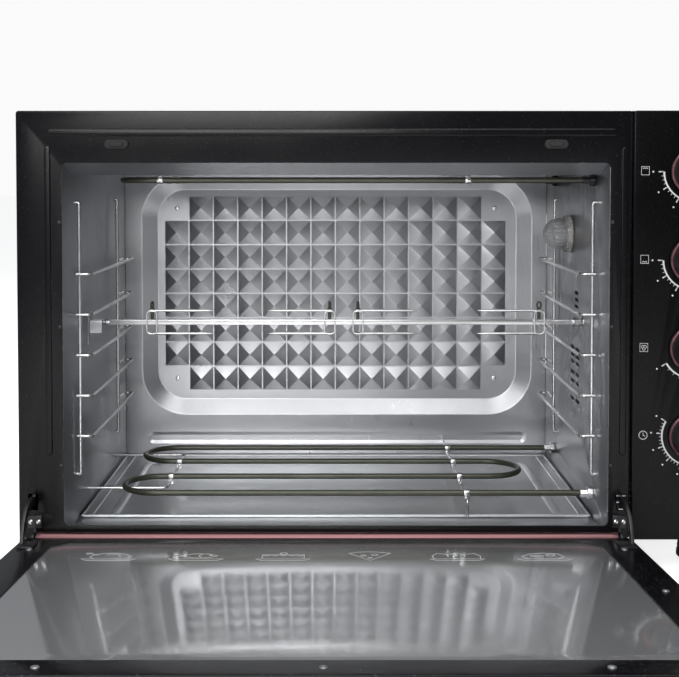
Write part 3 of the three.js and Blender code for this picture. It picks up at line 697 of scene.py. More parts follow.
def make_round_bar():
    """Sweeps a round section along the source's edges."""
    growth = Growth("round_bar", {"Radius": "Float", "Sides": "Int", "Finish": "Material"})
    curve = growth.add("GeometryNodeMeshToCurve", {"Mesh": growth.given["Geometry"]})
    section = growth.add("GeometryNodeCurvePrimitiveCircle",
                         {"Resolution": growth.given["Sides"], "Radius": growth.given["Radius"]})
    swept = growth.add("GeometryNodeCurveToMesh",
                       {"Curve": curve[0], "Profile Curve": section[0], "Fill Caps": True})
    return growth.finish(swept[0], growth.given["Finish"])


def make_placed_copies():
    """Sets a copy of one piece on every point of the source, all turned alike."""
    growth = Growth("placed_copies",
                    {"Copy": "Object", "Turn": "Rotation", "Size": "Float", "Finish": "Material"})
    copy = growth.add("GeometryNodeObjectInfo", {"Object": growth.given["Copy"], "As Instance": True})
    placed = growth.add("GeometryNodeInstanceOnPoints", {
        "Points": growth.given["Geometry"], "Instance": copy["Geometry"],
        "Rotation": growth.given["Turn"], "Scale": growth.given["Size"],
    })
    return growth.finish(placed[0], growth.given["Finish"])


def make_dial_marks():
    """Short bars round part of a circle, in the plane of X and Y."""
    growth = Growth("dial_marks", {
        "Count": "Int", "Radius": "Float", "Start": "Float", "Sweep": "Float",
        "Length": "Float", "Width": "Float", "Thickness": "Float", "Finish": "Material",
    })
    given = growth.given
    points = growth.add("GeometryNodePoints", {"Count": given["Count"]})
    index = growth.add("GeometryNodeInputIndex")[0]
    share = growth.maths("DIVIDE", index, growth.maths("SUBTRACT", given["Count"], 1.0))
    angle = growth.maths("SUBTRACT", given["Start"], growth.maths("MULTIPLY", share, given["Sweep"]))
    place = growth.add("ShaderNodeCombineXYZ", {
        "X": growth.maths("MULTIPLY", growth.maths("COSINE", angle), given["Radius"]),
        "Y": growth.maths("MULTIPLY", growth.maths("SINE", angle), given["Radius"]),
    })
    moved = growth.add("GeometryNodeSetPosition", {"Geometry": points[0], "Position": place[0]})
    size = growth.add("ShaderNodeCombineXYZ",
                      {"X": given["Length"], "Y": given["Width"], "Z": given["Thickness"]})
    bar = growth.add("GeometryNodeMeshCube", {"Size": size[0]})
    turn = growth.add("ShaderNodeCombineXYZ", {"Z": angle})
    placed = growth.add("GeometryNodeInstanceOnPoints",
                        {"Points": moved[0], "Instance": bar[0], "Rotation": turn[0]})
    return growth.finish(placed[0], given["Finish"])


ROUND_BAR = make_round_bar()
PLACED_COPIES = make_placed_copies()
DIAL_MARKS = make_dial_marks()


def bar(points, radius, sides=16, closed=False):
    """A round bar along a list of points, joined end to end when it is closed."""
    pairs = [(i, i + 1) for i in range(len(points) - 1)]
    if closed:
        pairs.append((len(points) - 1, 0))
    return grow(ROUND_BAR, mesh_of(points, edges=pairs), radius=radius * MM, sides=sides, finish=WIRE)


def copies(pattern, points, turn=(0.0, 0.0, 0.0)):
    """Copies of a pattern mesh, drawn about the origin, at each point."""
    model = bpy.data.objects.new("pattern", pattern)
    scene.collection.objects.link(model)
    made = grow(PLACED_COPIES, mesh_of(points), copy=model, turn=turn, size=1.0, finish=WIRE)
    bpy.data.objects.remove(model)
    return made


def marks(centre, count, radius, start, sweep, length, width, thickness=0.12):
    """Printed bars round a dial on the control panel."""
    made = grow(DIAL_MARKS, count=count, radius=radius * MM, start=math.radians(start),
                sweep=math.radians(sweep), length=length * MM, width=width * MM, thickness=thickness * MM,
                finish=INK)
    made.transform(Matrix.Rotation(math.pi / 2, 4, "X"))
    made.transform(Matrix.Translation(Vector(centre) * MM))
    return made


# ---- Flat work ----

FACING = {
    "x": AXES["x"].to_4x4(),
    "y": Matrix.Rotation(math.pi / 2, 4, "X"),
    "z": Matrix.Identity(4),
}


def arc(u, v, radius, start, end, steps=10):
    angles = [math.radians(start + (end - start) * i / steps) for i in range(steps + 1)]
    return [(u + radius * math.cos(t), v + radius * math.sin(t)) for t in angles]


def oblong(u0, u1, v0, v1, radius, steps=8):
    """A rectangle's outline with round corners."""
    r = min(radius, (u1 - u0) / 2 - 0.001, (v1 - v0) / 2 - 0.001)
    return (arc(u1 - r, v0 + r, r, -90, 0, steps) + arc(u1 - r, v1 - r, r, 0, 90, steps)
            + arc(u0 + r, v1 - r, r, 90, 180, steps) + arc(u0 + r, v0 + r, r, 180, 270, steps))


def chamfered(u0, u1, v0, v1, cut):
    """A rectangle's outline with its corners cut off."""
    return [(u0 + cut, v0), (u1 - cut, v0), (u1, v0 + cut), (u1, v1 - cut),
            (u1 - cut, v1), (u0 + cut, v1), (u0, v1 - cut), (u0, v0 + cut)]


def ring(u, v, radius, steps=32):
    return arc(u, v, radius, 0, 360 - 360 / steps, steps - 1)


def plate(outlines, axis, low, high, edge=0.3, steps=2):
    """A flat plate from low to high along an axis, the first outline with the others cut out, edges rounded.

    Outlines are X and Z where the plate faces Y, Y and Z where it faces X, and X and Y where it lies flat.
    """
    curve = bpy.data.curves.new("outline", "CURVE")
    curve.dimensions = "2D"
    curve.fill_mode = "BOTH"
    curve.extrude = ((high - low) / 2 - edge) * MM
    curve.bevel_depth = edge * MM
    curve.bevel_resolution = steps
    curve.offset = -edge * MM
    for number, outline in enumerate(outlines):
        points = outline if number == 0 else outline[::-1]
        spline = curve.splines.new("POLY")
        spline.points.add(len(points) - 1)
        for point, (u, v) in zip(spline.points, points):
            point.co = (u * MM, v * MM, 0.0, 1.0)
        spline.use_cyclic_u = True
    holder = bpy.data.objects.new("holder", curve)
    scene.collection.objects.link(holder)
    mesh = bpy.data.meshes.new_from_object(holder.evaluated_get(bpy.context.evaluated_depsgraph_get()))
    bpy.data.objects.remove(holder)
    work = bmesh.new()
    work.from_mesh(mesh)
    bmesh.ops.remove_doubles(work, verts=work.verts, dist=1e-6)
    bmesh.ops.recalc_face_normals(work, faces=work.faces)
    work.to_mesh(mesh)
    work.free()
    mesh.transform(FACING[axis])
    shift = Vector((0.0, 0.0, 0.0))
    shift["xyz".index(axis)] = (low + high) / 2 * MM
    mesh.transform(Matrix.Translation(shift))
    return mesh


def carved(mesh, cutter):
    """The mesh with the cutter's shape taken away."""
    tool = bpy.data.objects.new("cutter", cutter)
    scene.collection.objects.link(tool)
    made = after_modifiers(mesh, ("BOOLEAN", {"object": tool, "operation": "DIFFERENCE", "solver": "EXACT"}))
    bpy.data.objects.remove(tool)
    return made


def moved(mesh, place):
    mesh.transform(Matrix.Translation(Vector(place) * MM))
    return mesh


def pressing_profile(slope, depth, bend, steps=4):
    """Insets and depths across one pressed edge: flat, a round bend, the slope, a round bend, flat."""
    angle = math.atan2(depth, slope)
    reach = bend * math.tan(angle / 2)
    turns = [angle * i / steps for i in range(steps + 1)]
    upper = [(bend * math.sin(t) - reach, bend * (1 - math.cos(t))) for t in turns]
    lower = [(slope - inset, depth - fall) for inset, fall in upper[::-1]]
    return [(-reach - 0.4, 0.0)] + upper + lower + [(slope + reach + 0.4, depth)]


def pressed_sheet(outline, features, thickness):
    """A flat sheet with rounded features pressed down into it, its face at 0 on Z.

    A feature is (x0, x1, y0, y1, corner radius, width of slope, depth, bend radius).
    A depth below 0 stands up.
    """
    work = bmesh.new()

    def loop(points, z):
        return [work.verts.new((x * MM, y * MM, z * MM)) for x, y in points]

    def closed_edges(verts):
        return [work.edges.new((a, b)) for a, b in zip(verts, verts[1:] + verts[:1])]

    border = closed_edges(loop(outline, 0.0))
    for x0, x1, y0, y1, radius, slope, depth, bend in features:
        rise = -1.0 if depth > 0 else 1.0
        rings = []
        for inset, fall in pressing_profile(slope, abs(depth), bend):
            corners = oblong(x0 + inset, x1 - inset, y0 + inset, y1 - inset, max(radius - inset, 0.3), 14)
            rings.append(loop(corners, rise * fall))
        for low, high in zip(rings, rings[1:]):
            for i in range(len(low)):
                j = (i + 1) % len(low)
                work.faces.new((low[i], low[j], high[j], high[i]))
        edge_ring = rings[0]
        border += [work.edges.get((a, b)) for a, b in zip(edge_ring, edge_ring[1:] + edge_ring[:1])]
        work.faces.new(rings[-1])
    bmesh.ops.triangle_fill(work, edges=border, use_beauty=True)
    bmesh.ops.recalc_face_normals(work, faces=work.faces)
    flat = max(work.faces, key=lambda face: face.calc_area())
    if flat.normal.z < 0:
        bmesh.ops.reverse_faces(work, faces=work.faces)
    mesh = bpy.data.meshes.new("pressed")
    work.to_mesh(mesh)
    work.free()
    return after_modifiers(mesh, ("SOLIDIFY", {"thickness": thickness * MM, "offset": -1.0}))


def opened(mesh):
    """A mesh drawn for the shut door about its hinge line, swung open with it."""
    mesh.transform(DOOR_TURN.to_4x4())
    return moved(mesh, hinge_at)


def inside(x, y, z):
    """A place in the cavity: from its middle, from the front plane, and from the counter."""
    return Vector((cavity_x + x, front_face + y, z))


# ---- Casing ----

def screw_head(radius=3.4, height=1.3):
    """A pan-head screw with a cross recess, its head standing up along Z from the sheet."""
    profile = [(0, -0.6), (radius, -0.6), (radius, 0.2), (radius * 0.86, height * 0.7),
               (radius * 0.5, height), (0, height)]
    head = turned(profile, "z", (0, 0, 0), 20)
    long, wide = radius * 0.55, radius * 0.14
    head = carved(head, brick((-long, -wide, height * 0.4), (long, wide, height + 1)))
    return carved(head, brick((-wide, -long, height * 0.4), (wide, long, height + 1)))


def make_outer_wrap():
    low, high = span("outer_wrap")
    r, t = 12.0, 0.8
    x0, x1, z0, z1 = low.x, high.x, low.z, high.z
    outline = arc(x0 + r, z1 - r, r, 180, 90) + arc(x1 - r, z1 - r, r, 90, 0)
    outline += [(x1, z0), (x1 - t, z0)] + arc(x1 - r, z1 - r, r - t, 0, 90)
    outline += arc(x0 + r, z1 - r, r - t, 90, 180) + [(x0 + t, z0), (x0, z0)]
    shell = plate([outline], "y", low.y, high.y, 0.2, 1)
    slots = []
    for bottom in (150.0, 300.0):
        for i in range(8):
            y = front_face + 150 + 24 * i
            slots.append(plate([oblong(y, y + 5, bottom, bottom + 60, 2.5, 5)], "x", x1 - 3, x1 + 2, 0.1, 0))
    shell = carved(shell, merged(slots))
    piece("outer_wrap_shell", shell, "oven", COAT, ["outer_wrap"])


def make_back_cover():
    low, high = span("back_cover")
    face = cover_face
    slots = [oblong(190 + 12 * i, 195 + 12 * i, z, z + 60, 2.5, 5) for z in (150, 300) for i in range(12)]
    outlines = [oblong(low.x, high.x, low.z, high.z, 3), *slots, ring(330, 70, 8.6)]
    cover = plate(outlines, "y", face - 0.8, face, 0.2, 1)
    field = plate([oblong(-300, 120, 90, 410, 24)], "y", face - 0.7, face + 3, 2.6, 4)
    bead = [plate([oblong(-270, 90, z - 7, z + 7, 7)], "y", face + 1.2, face + 4.4, 1.5, 3)
            for z in (170, 250, 330)]
    stands = [plate([oblong(x - 20, x + 20, 425, 455, 6)], "y", face - 0.4, high.y, 2.5, 4)
              for x in (-260, 260)]
    hems = [brick((low.x + 1, face - 9, low.z + 1), (high.x - 1, face - 0.5, low.z + 2))]
    sheet = merged([cover, field, *bead, *stands, *hems])
    piece("back_cover_sheet", sheet, "oven", COAT, ["back_cover"])
    places = [(x, face, z) for x in (-350, -175, 0, 175, 350) for z in (46, 466)]
    places += [(x, face, z) for x in (-366, 366) for z in (160, 340)]
    screws = copies(screw_head(), places, (-math.pi / 2, 0, 0))
    piece("back_cover_screws", screws, "oven", ZINC)


def make_feet():
    for end in ("front", "rear"):
        for side in ("left", "right"):
            name = f"foot_{end}_{side}"
            low, high = span(name)
            centre = (low + high) / 2
            top = high.z
            profile = [(0, 1.2), (6, 1.2), (7.5, 0), (15.5, 0), (18, 2.4), (17.4, 9), (16.6, 9.8),
                       (16.6, 11.2), (17, 12), (14.2, top), (0, top)]
            foot = turned(rounded(profile, 1.4, 4), "z", (centre.x, centre.y, 0), 48)
            piece(name + "_moulding", foot, "oven", RUBBER, [name])


def make_gland():
    low, high = span("cable_gland")
    x, z = (low.x + high.x) / 2, (low.z + high.z) / 2
    face = cover_face
    profile = [(0, face - 6), (3.6, face - 6), (3.6, face + 9.8), (6, face + 9.8), (8.4, face + 7),
               (9.6, face + 3), (9.6, face + 0.3), (7.4, face + 0.3), (7.4, face - 8), (0, face - 8)]
    collar = turned(rounded(profile, 0.8, 3), "y", (x, 0, z), 40, 10, 0.5)
    piece("cable_gland_moulding", collar, "oven", RUBBER, ["cable_gland"])


# ---- Front of the oven ----

def make_front_frame():
    low, high = span("front_frame")
    face = front_face
    opening = oblong(left_wall, right_wall, sill_top, opening_top, 5)
    slots = [oblong(cavity_x + x - 5, cavity_x + x + 5, 65, 82, 1.2, 3) for x in (-311.5, 293.5)]
    sheet = plate([oblong(low.x, high.x, low.z, high.z, 3), opening, *slots], "y", face, face + 2, 0.55, 3)
    beads = [
        plate([oblong(cavity_x - 295, cavity_x + 287, 449, 457, 4)], "y", face - 1.6, face + 1, 1.5, 4),
        plate([oblong(cavity_x - 297.4, cavity_x - 290.8, 122, 440, 3.3)], "y", face - 1.6, face + 1, 1.5, 4),
        plate([oblong(cavity_x + 290.8, cavity_x + 297.6, 122, 438, 3.4)], "y", face - 1.6, face + 1, 1.5, 4),
    ]
    piece("front_frame_pressing", merged([sheet, *beads]), "oven", ENAMEL, ["front_frame"])
    profile = [(0, -0.5), (1.9, -0.5), (1.9, 0.1), (1.4, 0.6), (0.7, 0.85), (0, 0.9)]
    rivet = turned(profile, "z", (0, 0, 0), 16)
    places = [(x, face, z) for x in (left_wall - 2.6, right_wall + 2.6) for z in (361.5, 254.3, 110.9)]
    piece("front_frame_rivets", copies(rivet, places, (math.pi / 2, 0, 0)), "oven", DARK_STEEL)


def make_buffers():
    for side in ("left", "right"):
        name = f"door_buffer_{side}"
        low, high = span(name)
        x, z = (low.x + high.x) / 2, (low.z + high.z) / 2
        f = front_face
        base = plate([oblong(x - 12.2, x + 12.2, z - 4.7, z + 4.7, 4.7)], "y", f - 3.3, f - 0.3, 1.1, 4)
        nose = plate([oblong(x - 7, x + 7, z - 2.5, z + 2.5, 2.5)], "y", f - 5.1, f - 2.8, 1.1, 4)
        stem = plate([oblong(x - 8, x + 8, z - 2.8, z + 2.8, 2.8)], "y", f - 1, high.y, 0.8, 2)
        piece(name + "_moulding", merged([base, nose, stem]), "oven", RUBBER, [name])


def make_hinge_lugs():
    for side in ("left", "right"):
        name = f"hinge_lug_{side}"
        edged(name, name + "_pressing", "oven", DARK_STEEL, 0.35, 2)
    rivet = turned([(0, -0.4), (2.4, -0.4), (2.4, 0.4), (1.6, 1.0), (0, 1.1)], "z", (0, 0, 0), 20)
    places = [(hinge_at.x + x + dx, front_face - 2.3, 53.5) for x in (-300.5, 300.5) for dx in (-4, 4)]
    piece("hinge_lug_rivets", copies(rivet, places, (math.pi / 2, 0, 0)), "oven", WIRE)


# ---- Control panel ----

KNOBS = {
    "upper_heat_knob": ("upper_heat_dial", 270),
    "lower_heat_knob": ("lower_heat_dial", 270),
    "function_knob": ("function_dial", 240),
    "timer_knob": ("timer_dial", 300),
}


def make_fascia():
    low, high = fascia_low, fascia_high
    holes = [ring(fascia_x, middle(name).z, 5, 24) for name in KNOBS]
    face = low.y
    panel = plate([oblong(low.x, high.x, low.z, high.z, 3), *holes], "y", face, high.y, 1.2, 4)
    piece("control_fascia_moulding", panel, "oven", MOULDING, ["control_fascia"])
    prints = []
    for name, (_, sweep) in KNOBS.items():
        at = (fascia_x, face, middle(name).z)
        count = {270: 10, 240: 6, 300: 13}[sweep]
        prints.append(marks(at, count, 33.5, 90, sweep, 5.0, 1.1))
        prints.append(marks(at, (count - 1) * 4 + 1, 32.2, 90, sweep, 2.2, 0.45))
        prints.append(marks(at, count, 41.5, 90, sweep, 1.6, 1.6))
        prints.append(dial_arc(at, 29.8, sweep))
    prints += [dial_sign(fascia_x - 49.5, face, middle(name).z + 1.0, kind) for name, kind in
               (("upper_heat_knob", "top heat"), ("lower_heat_knob", "bottom heat"),
                ("function_knob", "fan"), ("timer_knob", "clock"))]
    piece("control_fascia_print", merged(prints), "oven", INK)


def dial_arc(at, radius, sweep):
    """A thin printed line that widens round the dial from its start to its end."""
    steps = 60
    x, y, z = at

    def on_dial(r, angle):
        turn = math.radians(angle)
        return x + r * math.cos(turn), z + r * math.sin(turn)

    outer = [(radius + 0.25 + 1.3 * i / steps, 90 - sweep * i / steps) for i in range(steps + 1)]
    outline = [on_dial(r, angle) for r, angle in outer]
    outline += [on_dial(radius - 0.25, angle) for _, angle in outer[::-1]]
    return plate([outline], "y", y - 0.06, y + 0.06, 0.02, 0)


def dial_sign(x, y, z, kind):
    """A small plain sign for what a dial does, about 9 mm across."""
    def line(points, radius=0.35, closed=False):
        return bar([(x + u, y, z + v) for u, v in points], radius, 6, closed)

    frame = line([(-4, -4.2), (4, -4.2), (4, 4.2), (-4, 4.2)], closed=True)
    zigzag = [(-2.6, 0), (-1.3, 1.1), (0, 0), (1.3, 1.1), (2.6, 0)]
    if kind == "top heat":
        return merged([frame, line([(u, v + 2.0) for u, v in zigzag])])
    if kind == "bottom heat":
        return merged([frame, line([(u, v - 3.0) for u, v in zigzag])])
    if kind == "fan":
        blades = [arc(1.5 * math.cos(t), 1.5 * math.sin(t), 1.4, 0, 324, 9) for t in (0.5, 2.6, 4.7)]
        return merged([frame, *[line(blade, 0.3, True) for blade in blades]])
    return merged([line(ring(0, 0, 4.2, 28), closed=True), line([(0, 2.8), (0, 0), (2, -1)])])


def make_knobs():
    for name, (body, _) in KNOBS.items():
        low, high = span(name)
        x, z = fascia_x, (low.z + high.z) / 2
        f = front_face
        skirt = [(0, f - 25), (16.6, f - 25), (19, f - 23.4), (20.4, f - 11.2), (23.9, f - 9.3),
                 (23.9, f - 6.6), (22.4, f - 6.6), (22.4, f - 7.6), (0, f - 7.6)]
        dial = turned(rounded(skirt, 1.3, 5), "y", (x, 0, z), 120, 60, 0.25)
        grip = carved(brick((x - 3.5, f - 33, z - 19), (x + 3.5, f - 23, z + 19), 1.6, 4),
                      brick((x - 0.7, f - 34, z + 6.5), (x + 0.7, f - 32.5, z + 18)))
        spindle = turned([(0, f - 8.2), (3, f - 8.2), (3, f + 18), (0, f + 18)], "y", (x, 0, z), 24)
        piece(name + "_moulding", merged([dial, grip, spindle]), body, KNOB, [name])
        pointer = brick((x - 0.62, f - 32.85, z + 6.7), (x + 0.62, f - 32.3, z + 17.8), 0.1, 1)
        piece(name + "_pointer", pointer, body, INK)
        trim = [(21.3, f - 10.9), (22.3, f - 11.5), (24, f - 10.2), (24, f - 9.1), (21.3, f - 9.1),
                (21.3, f - 10.9)]
        trim = turned(rounded(trim, 0.4, 3)[:-1], "y", (x, 0, z), 96)
        piece(name + "_trim", trim, body, ROSE)


def make_indicator():
    low, high = span("indicator_light")
    x, z = (low.x + high.x) / 2, (low.z + high.z) / 2
    f = front_face
    lens = [(0, f - 9), (2.4, f - 8.7), (4.3, f - 7.4), (4.3, f - 6.2), (3.9, f - 6.2), (3.9, f + 8),
            (0, f + 8)]
    lens = turned(rounded(lens, 0.6, 4), "y", (x, 0, z), 40)
    piece("indicator_lens", lens, "oven", AMBER, ["indicator_light"])
    bezel = turned(rounded([(4.4, f - 7.6), (5.2, f - 7.9), (6.4, f - 7.0), (6.4, f - 6.0), (4.4, f - 6.0),
                            (4.4, f - 7.6)], 0.3, 3)[:-1], "y", (x, 0, z), 48)
    piece("indicator_bezel", bezel, "oven", WIRE)


# ---- Cavity ----

def make_walls():
    low, high = span("cavity_left_wall")
    left = plate([oblong(low.y, high.y, low.z, high.z, 1)], "x", low.x, high.x, 0.15, 1)
    piece("left_wall_sheet", left, "oven", WALL_STEEL_PAINTED_SHADE, ["cavity_left_wall"])
    low, high = span("cavity_right_wall")
    rows = [(174, 274), (174, 266), (174, 258)]
    rows += [(y, z) for z in (208.5, 199.4, 191.4, 179, 168.5, 159, 148) for y in (166, 195)]
    holes = [oblong(front_face + y - 11, front_face + y + 11, z - 2, z + 2, 2, 5) for y, z in rows]
    holes += [ring(spit_y, spit_z, 5.2, 24), ring(lamp_y, lamp_z, 19.4, 48)]
    holes += [ring(front_face + y, z, 3.9, 20) for y in (heater_rows[0], heater_rows[3])
              for z in (lower_heater_z, upper_heater_z)]
    right = plate([oblong(low.y, high.y, low.z, high.z, 1), *holes], "x", low.x, high.x, 0.15, 1)
    piece("right_wall_sheet", right, "oven", WALL_STEEL_PAINTED_SHADE, ["cavity_right_wall"])
    heads = screw_head(3.0, 1.1)
    places = [inside(half_width, y, z) for y, z in ((174, 294), (220, 215), (195, 128))]
    piece("right_wall_screws", copies(heads, places, (0, -math.pi / 2, 0)), "oven", WIRE)


def make_back_panel():
    low, high = panel_low, panel_high
    x = cavity_x + 1.6
    outline = [(low.x, low.z), (high.x, low.z), (high.x, high.z), (low.x, high.z)]
    sheet = pressed_sheet(outline, [
        (x - 259, x + 259, 93, 412.6, 58, 19.5, 9.0, 3.5),
        (x - 252.5, x + 252.5, 53.8, 69.7, 8, 4.5, 1.3, 1.5),
    ], 0.8)
    sheet.transform(FACING["y"])
    moved(sheet, (0, back_face, 0))
    pitch, half = 32.6, 16.25
    point = mesh_of(
        [(-half, -half, -0.3), (half, -half, -0.3), (half, half, -0.3), (-half, half, -0.3), (0, 0, 6)],
        [(3, 2, 1, 0), (0, 1, 4), (1, 2, 4), (2, 3, 4), (3, 0, 4)])
    point = bevelled(point, 0.5, 2, 12)
    floor_y = back_face + 9
    places = []
    for row in range(8):
        for column in range(14):
            if column in (0, 13) and row in (0, 7):
                continue
            places.append(inside((column - 6.5) * pitch - 0.6, floor_y - front_face, 368.4 - row * pitch))
    raised = copies(point, places, (math.pi / 2, 0, 0))
    piece("back_panel_pressing", merged([sheet, raised]), "oven", BACK_STEEL_PAINTED_MIDTONE,
          ["cavity_back_panel"], 12)
    corners = [inside(sign * 6.5 * pitch, floor_y - front_face, 368.4 - row * pitch)
               for sign in (-1, 1) for row in (0, 7)]
    screws = copies(screw_head(3.2, 1.2), corners, (math.pi / 2, 0, 0))
    piece("back_panel_screws", screws, "oven", WIRE)


def make_ceiling():
    low, high = span("cavity_ceiling")
    f = front_face
    line = [(low.y, opening_top), (f + 46, 410.6), (f + 48, 410), (f + 49.2, 410.6), (f + 56, 423),
            (high.y, 423)]
    outline = line + [(y, z + 1.1) for y, z in line[::-1]]
    sheet = plate([outline], "x", low.x, high.x, 0.15, 1)
    piece("ceiling_sheet", sheet, "oven", FLOOR_STEEL_PAINTED_LIGHT, ["cavity_ceiling"])


def make_floor():
    low, high = span("cavity_floor")
    top = low.z + 0.8
    lip = sill_top - 0.3
    profile = [(low.y, lip), (low.y, low.z + 1), (low.y + 1, low.z), (high.y, low.z), (high.y, top),
               (low.y + 1.8, top), (low.y + 0.8, top + 1), (low.y + 0.8, lip - 0.6), (low.y + 3, lip - 0.6),
               (low.y + 3, lip)]
    sheet = plate([profile], "x", low.x, high.x, 0.12, 1)
    piece("floor_sheet", sheet, "oven", FLOOR_STEEL_PAINTED_LIGHT, ["cavity_floor"])
    low, high = tray_low, tray_high
    x0, x1, y0, y1 = low.x, high.x, low.y, high.y
    base = plate([oblong(x0, x1, y0, y1, 4)], "z", 36.75, 38.4, 0.5, 2)
    edge = bar(route([(x0 + 1.5, y0 + 1.3, 38.7), (x0 + 1.5, y1 - 1.3, 38.7), (x1 - 1.5, y1 - 1.3, 38.7),
                      (x1 - 1.5, y0 + 1.3, 38.7)], 4, 5) + [(x1 - 6, y0 + 1.3, 38.7)], 1.25, 12, True)
    path = [(cavity_x - 243, y0 + 4, 38.4), (cavity_x - 243, front_face + 336, 38.4),
            (cavity_x + 243, front_face + 336, 38.4), (cavity_x + 243, y0 + 4, 38.4)]
    bead = bar(route(path, 26, 14), 5.2, 24)
    for vertex in bead.vertices:
        vertex.co.z = (38.3 + (vertex.co.z / MM - 38.3) * 0.3) * MM
    grooves = []
    for x in (x0 + 12, x1 - 12):
        grooves.append(bar([(x, y0 + 6, 38.2), (x, y1 - 6, 38.2)], 1.3, 10))
    piece("crumb_tray_pressing", merged([base, edge, bead, *grooves]), "oven", FLOOR_STEEL_PAINTED_LIGHT,
          ["crumb_tray"])


def make_heaters():
    rows = heater_rows[::-1]
    for name, z in (("lower_heating_element", lower_heater_z), ("upper_heating_element", upper_heater_z)):
        ways = ((304, 0), (-236, 0), (-236, 1), (216, 1), (216, 2), (-236, 2), (-236, 3), (304, 3))
        corners = [inside(x, rows[row], z) for x, row in ways]
        piece(name + "_tube", bar(route(corners, 38.5, 20), 3.2, 24), "oven", SHEATH, [name])
        ferrules = []
        for y in (rows[0], rows[3]):
            at = inside(0, y, z)
            wall = cavity_x + half_width
            collar = [(3.3, wall - 14), (4.6, wall - 14), (4.6, wall - 6), (7.2, wall - 6),
                      (7.2, wall - 0.2), (3.3, wall - 0.2), (3.3, wall - 14)]
            pin = [(0, wall + 23.5), (2.0, wall + 23.5), (2.0, wall + 30), (0, wall + 30)]
            ferrules.append(turned(rounded(collar, 0.5, 3)[:-1], "x", (0, at.y, at.z), 48, 6, 0.7))
            ferrules.append(turned(pin, "x", (0, at.y, at.z), 16))
        # Painted shade: the upper heater's ferrules, the same part as the lower heater's, take dark steel
        # where the lower ones take bright wire.
        nut = DARK_STEEL if name.startswith("upper") else WIRE
        piece(name + "_ferrules", merged(ferrules), "oven", nut)


def clip(x, y, z, down):
    """A strap folded round a heater tube and pinched on to the wire below or above it."""
    outline = arc(y, z, 4.1, -60, 240, 16) + arc(y, z, 3.4, 240, -60, 16)
    outline = [(u, z + (v - z) * (1 if down else -1)) for u, v in outline]
    low, high = (z - 9.0, z - 2.6) if down else (z + 2.6, z + 9.0)
    band = plate([outline[::1] if down else outline[::-1]], "x", x - 3, x + 3, 0.15, 1)
    legs = [brick((x - 3, y + s, low), (x + 3, y + s + 0.7, high), 0.2, 1) for s in (-2.2, 1.5)]
    return merged([band, *legs])


def make_supports():
    under = lower_heater_z - 3.25 - 1.6 - 0.4
    wall = -279.7
    corners = [inside(x, y, under) for x, y in ((wall, 120), (-190, 120), (-190, 288), (wall, 288))]
    left = bar(route(corners, 5, 8), 1.5, 14)
    piece("lower_support_left_wire", left, "oven", WIRE, ["lower_support_left"])
    corners = [inside(142.5, 380, under), inside(142.5, 66, under), inside(142.5, 66, 40.4)]
    right = bar(route(corners, 4, 8), 1.5, 14)
    piece("lower_support_right_wire", right, "oven", WIRE, ["lower_support_right"])
    over = upper_heater_z + 3.25 + 1.9
    upper = [bar(route([inside(x, 380, over), inside(x, 66, over), inside(x, 66, over + 12)], 4, 8), 1.5, 14)
             for x in (-190, 142.5)]
    piece("upper_support_wires", merged(upper), "oven", WIRE)
    rows = heater_rows
    bright = [clip(cavity_x + 142.5, front_face + y, lower_heater_z, True) for y in rows]
    bright += [clip(cavity_x - 190, front_face + y, lower_heater_z, True) for y in rows[1:3]]
    bright += [clip(cavity_x + 142.5, front_face + y, upper_heater_z, False) for y in rows]
    bright += [clip(cavity_x - 190, front_face + y, upper_heater_z, False) for y in rows]
    piece("heater_clips", merged(bright), "oven", WIRE)


def make_rack_guides():
    for side, sign in (("left", -1), ("right", 1)):
        wall, post, outer = sign * 279.6, sign * 275.0, sign * 262.0
        wires = []
        for y in (62, 292):
            corners = [inside(x, y, z) for x, z in ((wall, 381), (post, 381), (post, 88), (wall, 88))]
            wires.append(bar(route(corners, 2.4, 6), 2.0, 14))
        weld = 3.5
        for z in (129.8, 173.4, 217, 260.6, 304.2):
            ways = ((post + sign * 3, 62 - weld), (outer, 62 - weld), (outer, 336), (post, 336), (post, 292))
            corners = [inside(x, y, z) for x, y in ways]
            wires.append(bar(route(corners, 5.6, 8), 1.85, 14))
        piece(f"rack_guide_{side}_wires", merged(wires), "oven", WIRE, [f"rack_guide_{side}"])


def make_lamp():
    y, z = lamp_y, lamp_z
    wall = cavity_x + half_width
    turns = [math.radians(t) for t in range(90, -31, -10)]
    dome = [(18.4 * math.cos(t), wall - 15 - 17.6 * math.sin(t)) for t in turns]
    dome += [(15.6, wall - 5.4), (14.4, wall - 5.4)]
    dome += [(17.2 * math.cos(t), wall - 15 - 16.4 * math.sin(t)) for t in turns[::-1]]
    piece("lamp_dome", turned(dome, "x", (0, y, z), 160, 20, 0.9), "oven", GLASS,
          ["lamp_glass"])
    socket = [(0, wall + 43.8), (16.8, wall + 43.8), (18.5, wall + 40), (18.5, wall - 0.4),
              (20.6, wall - 0.4), (20.6, wall - 3.4), (20.0, wall - 4.9), (16.2, wall - 4.9),
              (16.2, wall + 30), (0, wall + 30)]
    piece("lamp_socket", turned(rounded(socket, 0.9, 3), "x", (0, y, z), 64), "oven", CERAMIC,
          ["lamp_holder"])
    collar = [(20.2, wall - 5.2), (20.2, wall - 7.6), (20.8, wall - 8.4), (21.6, wall - 7.6),
              (22.6, wall - 0.6), (20.7, wall - 0.6), (20.7, wall - 5.2), (20.2, wall - 5.2)]
    collar = turned(rounded(collar, 0.4, 3)[:-1], "x", (0, y, z), 80, 20, 0.4)
    piece("lamp_collar", collar, "oven", GLASS)


# ---- Rotisserie ----

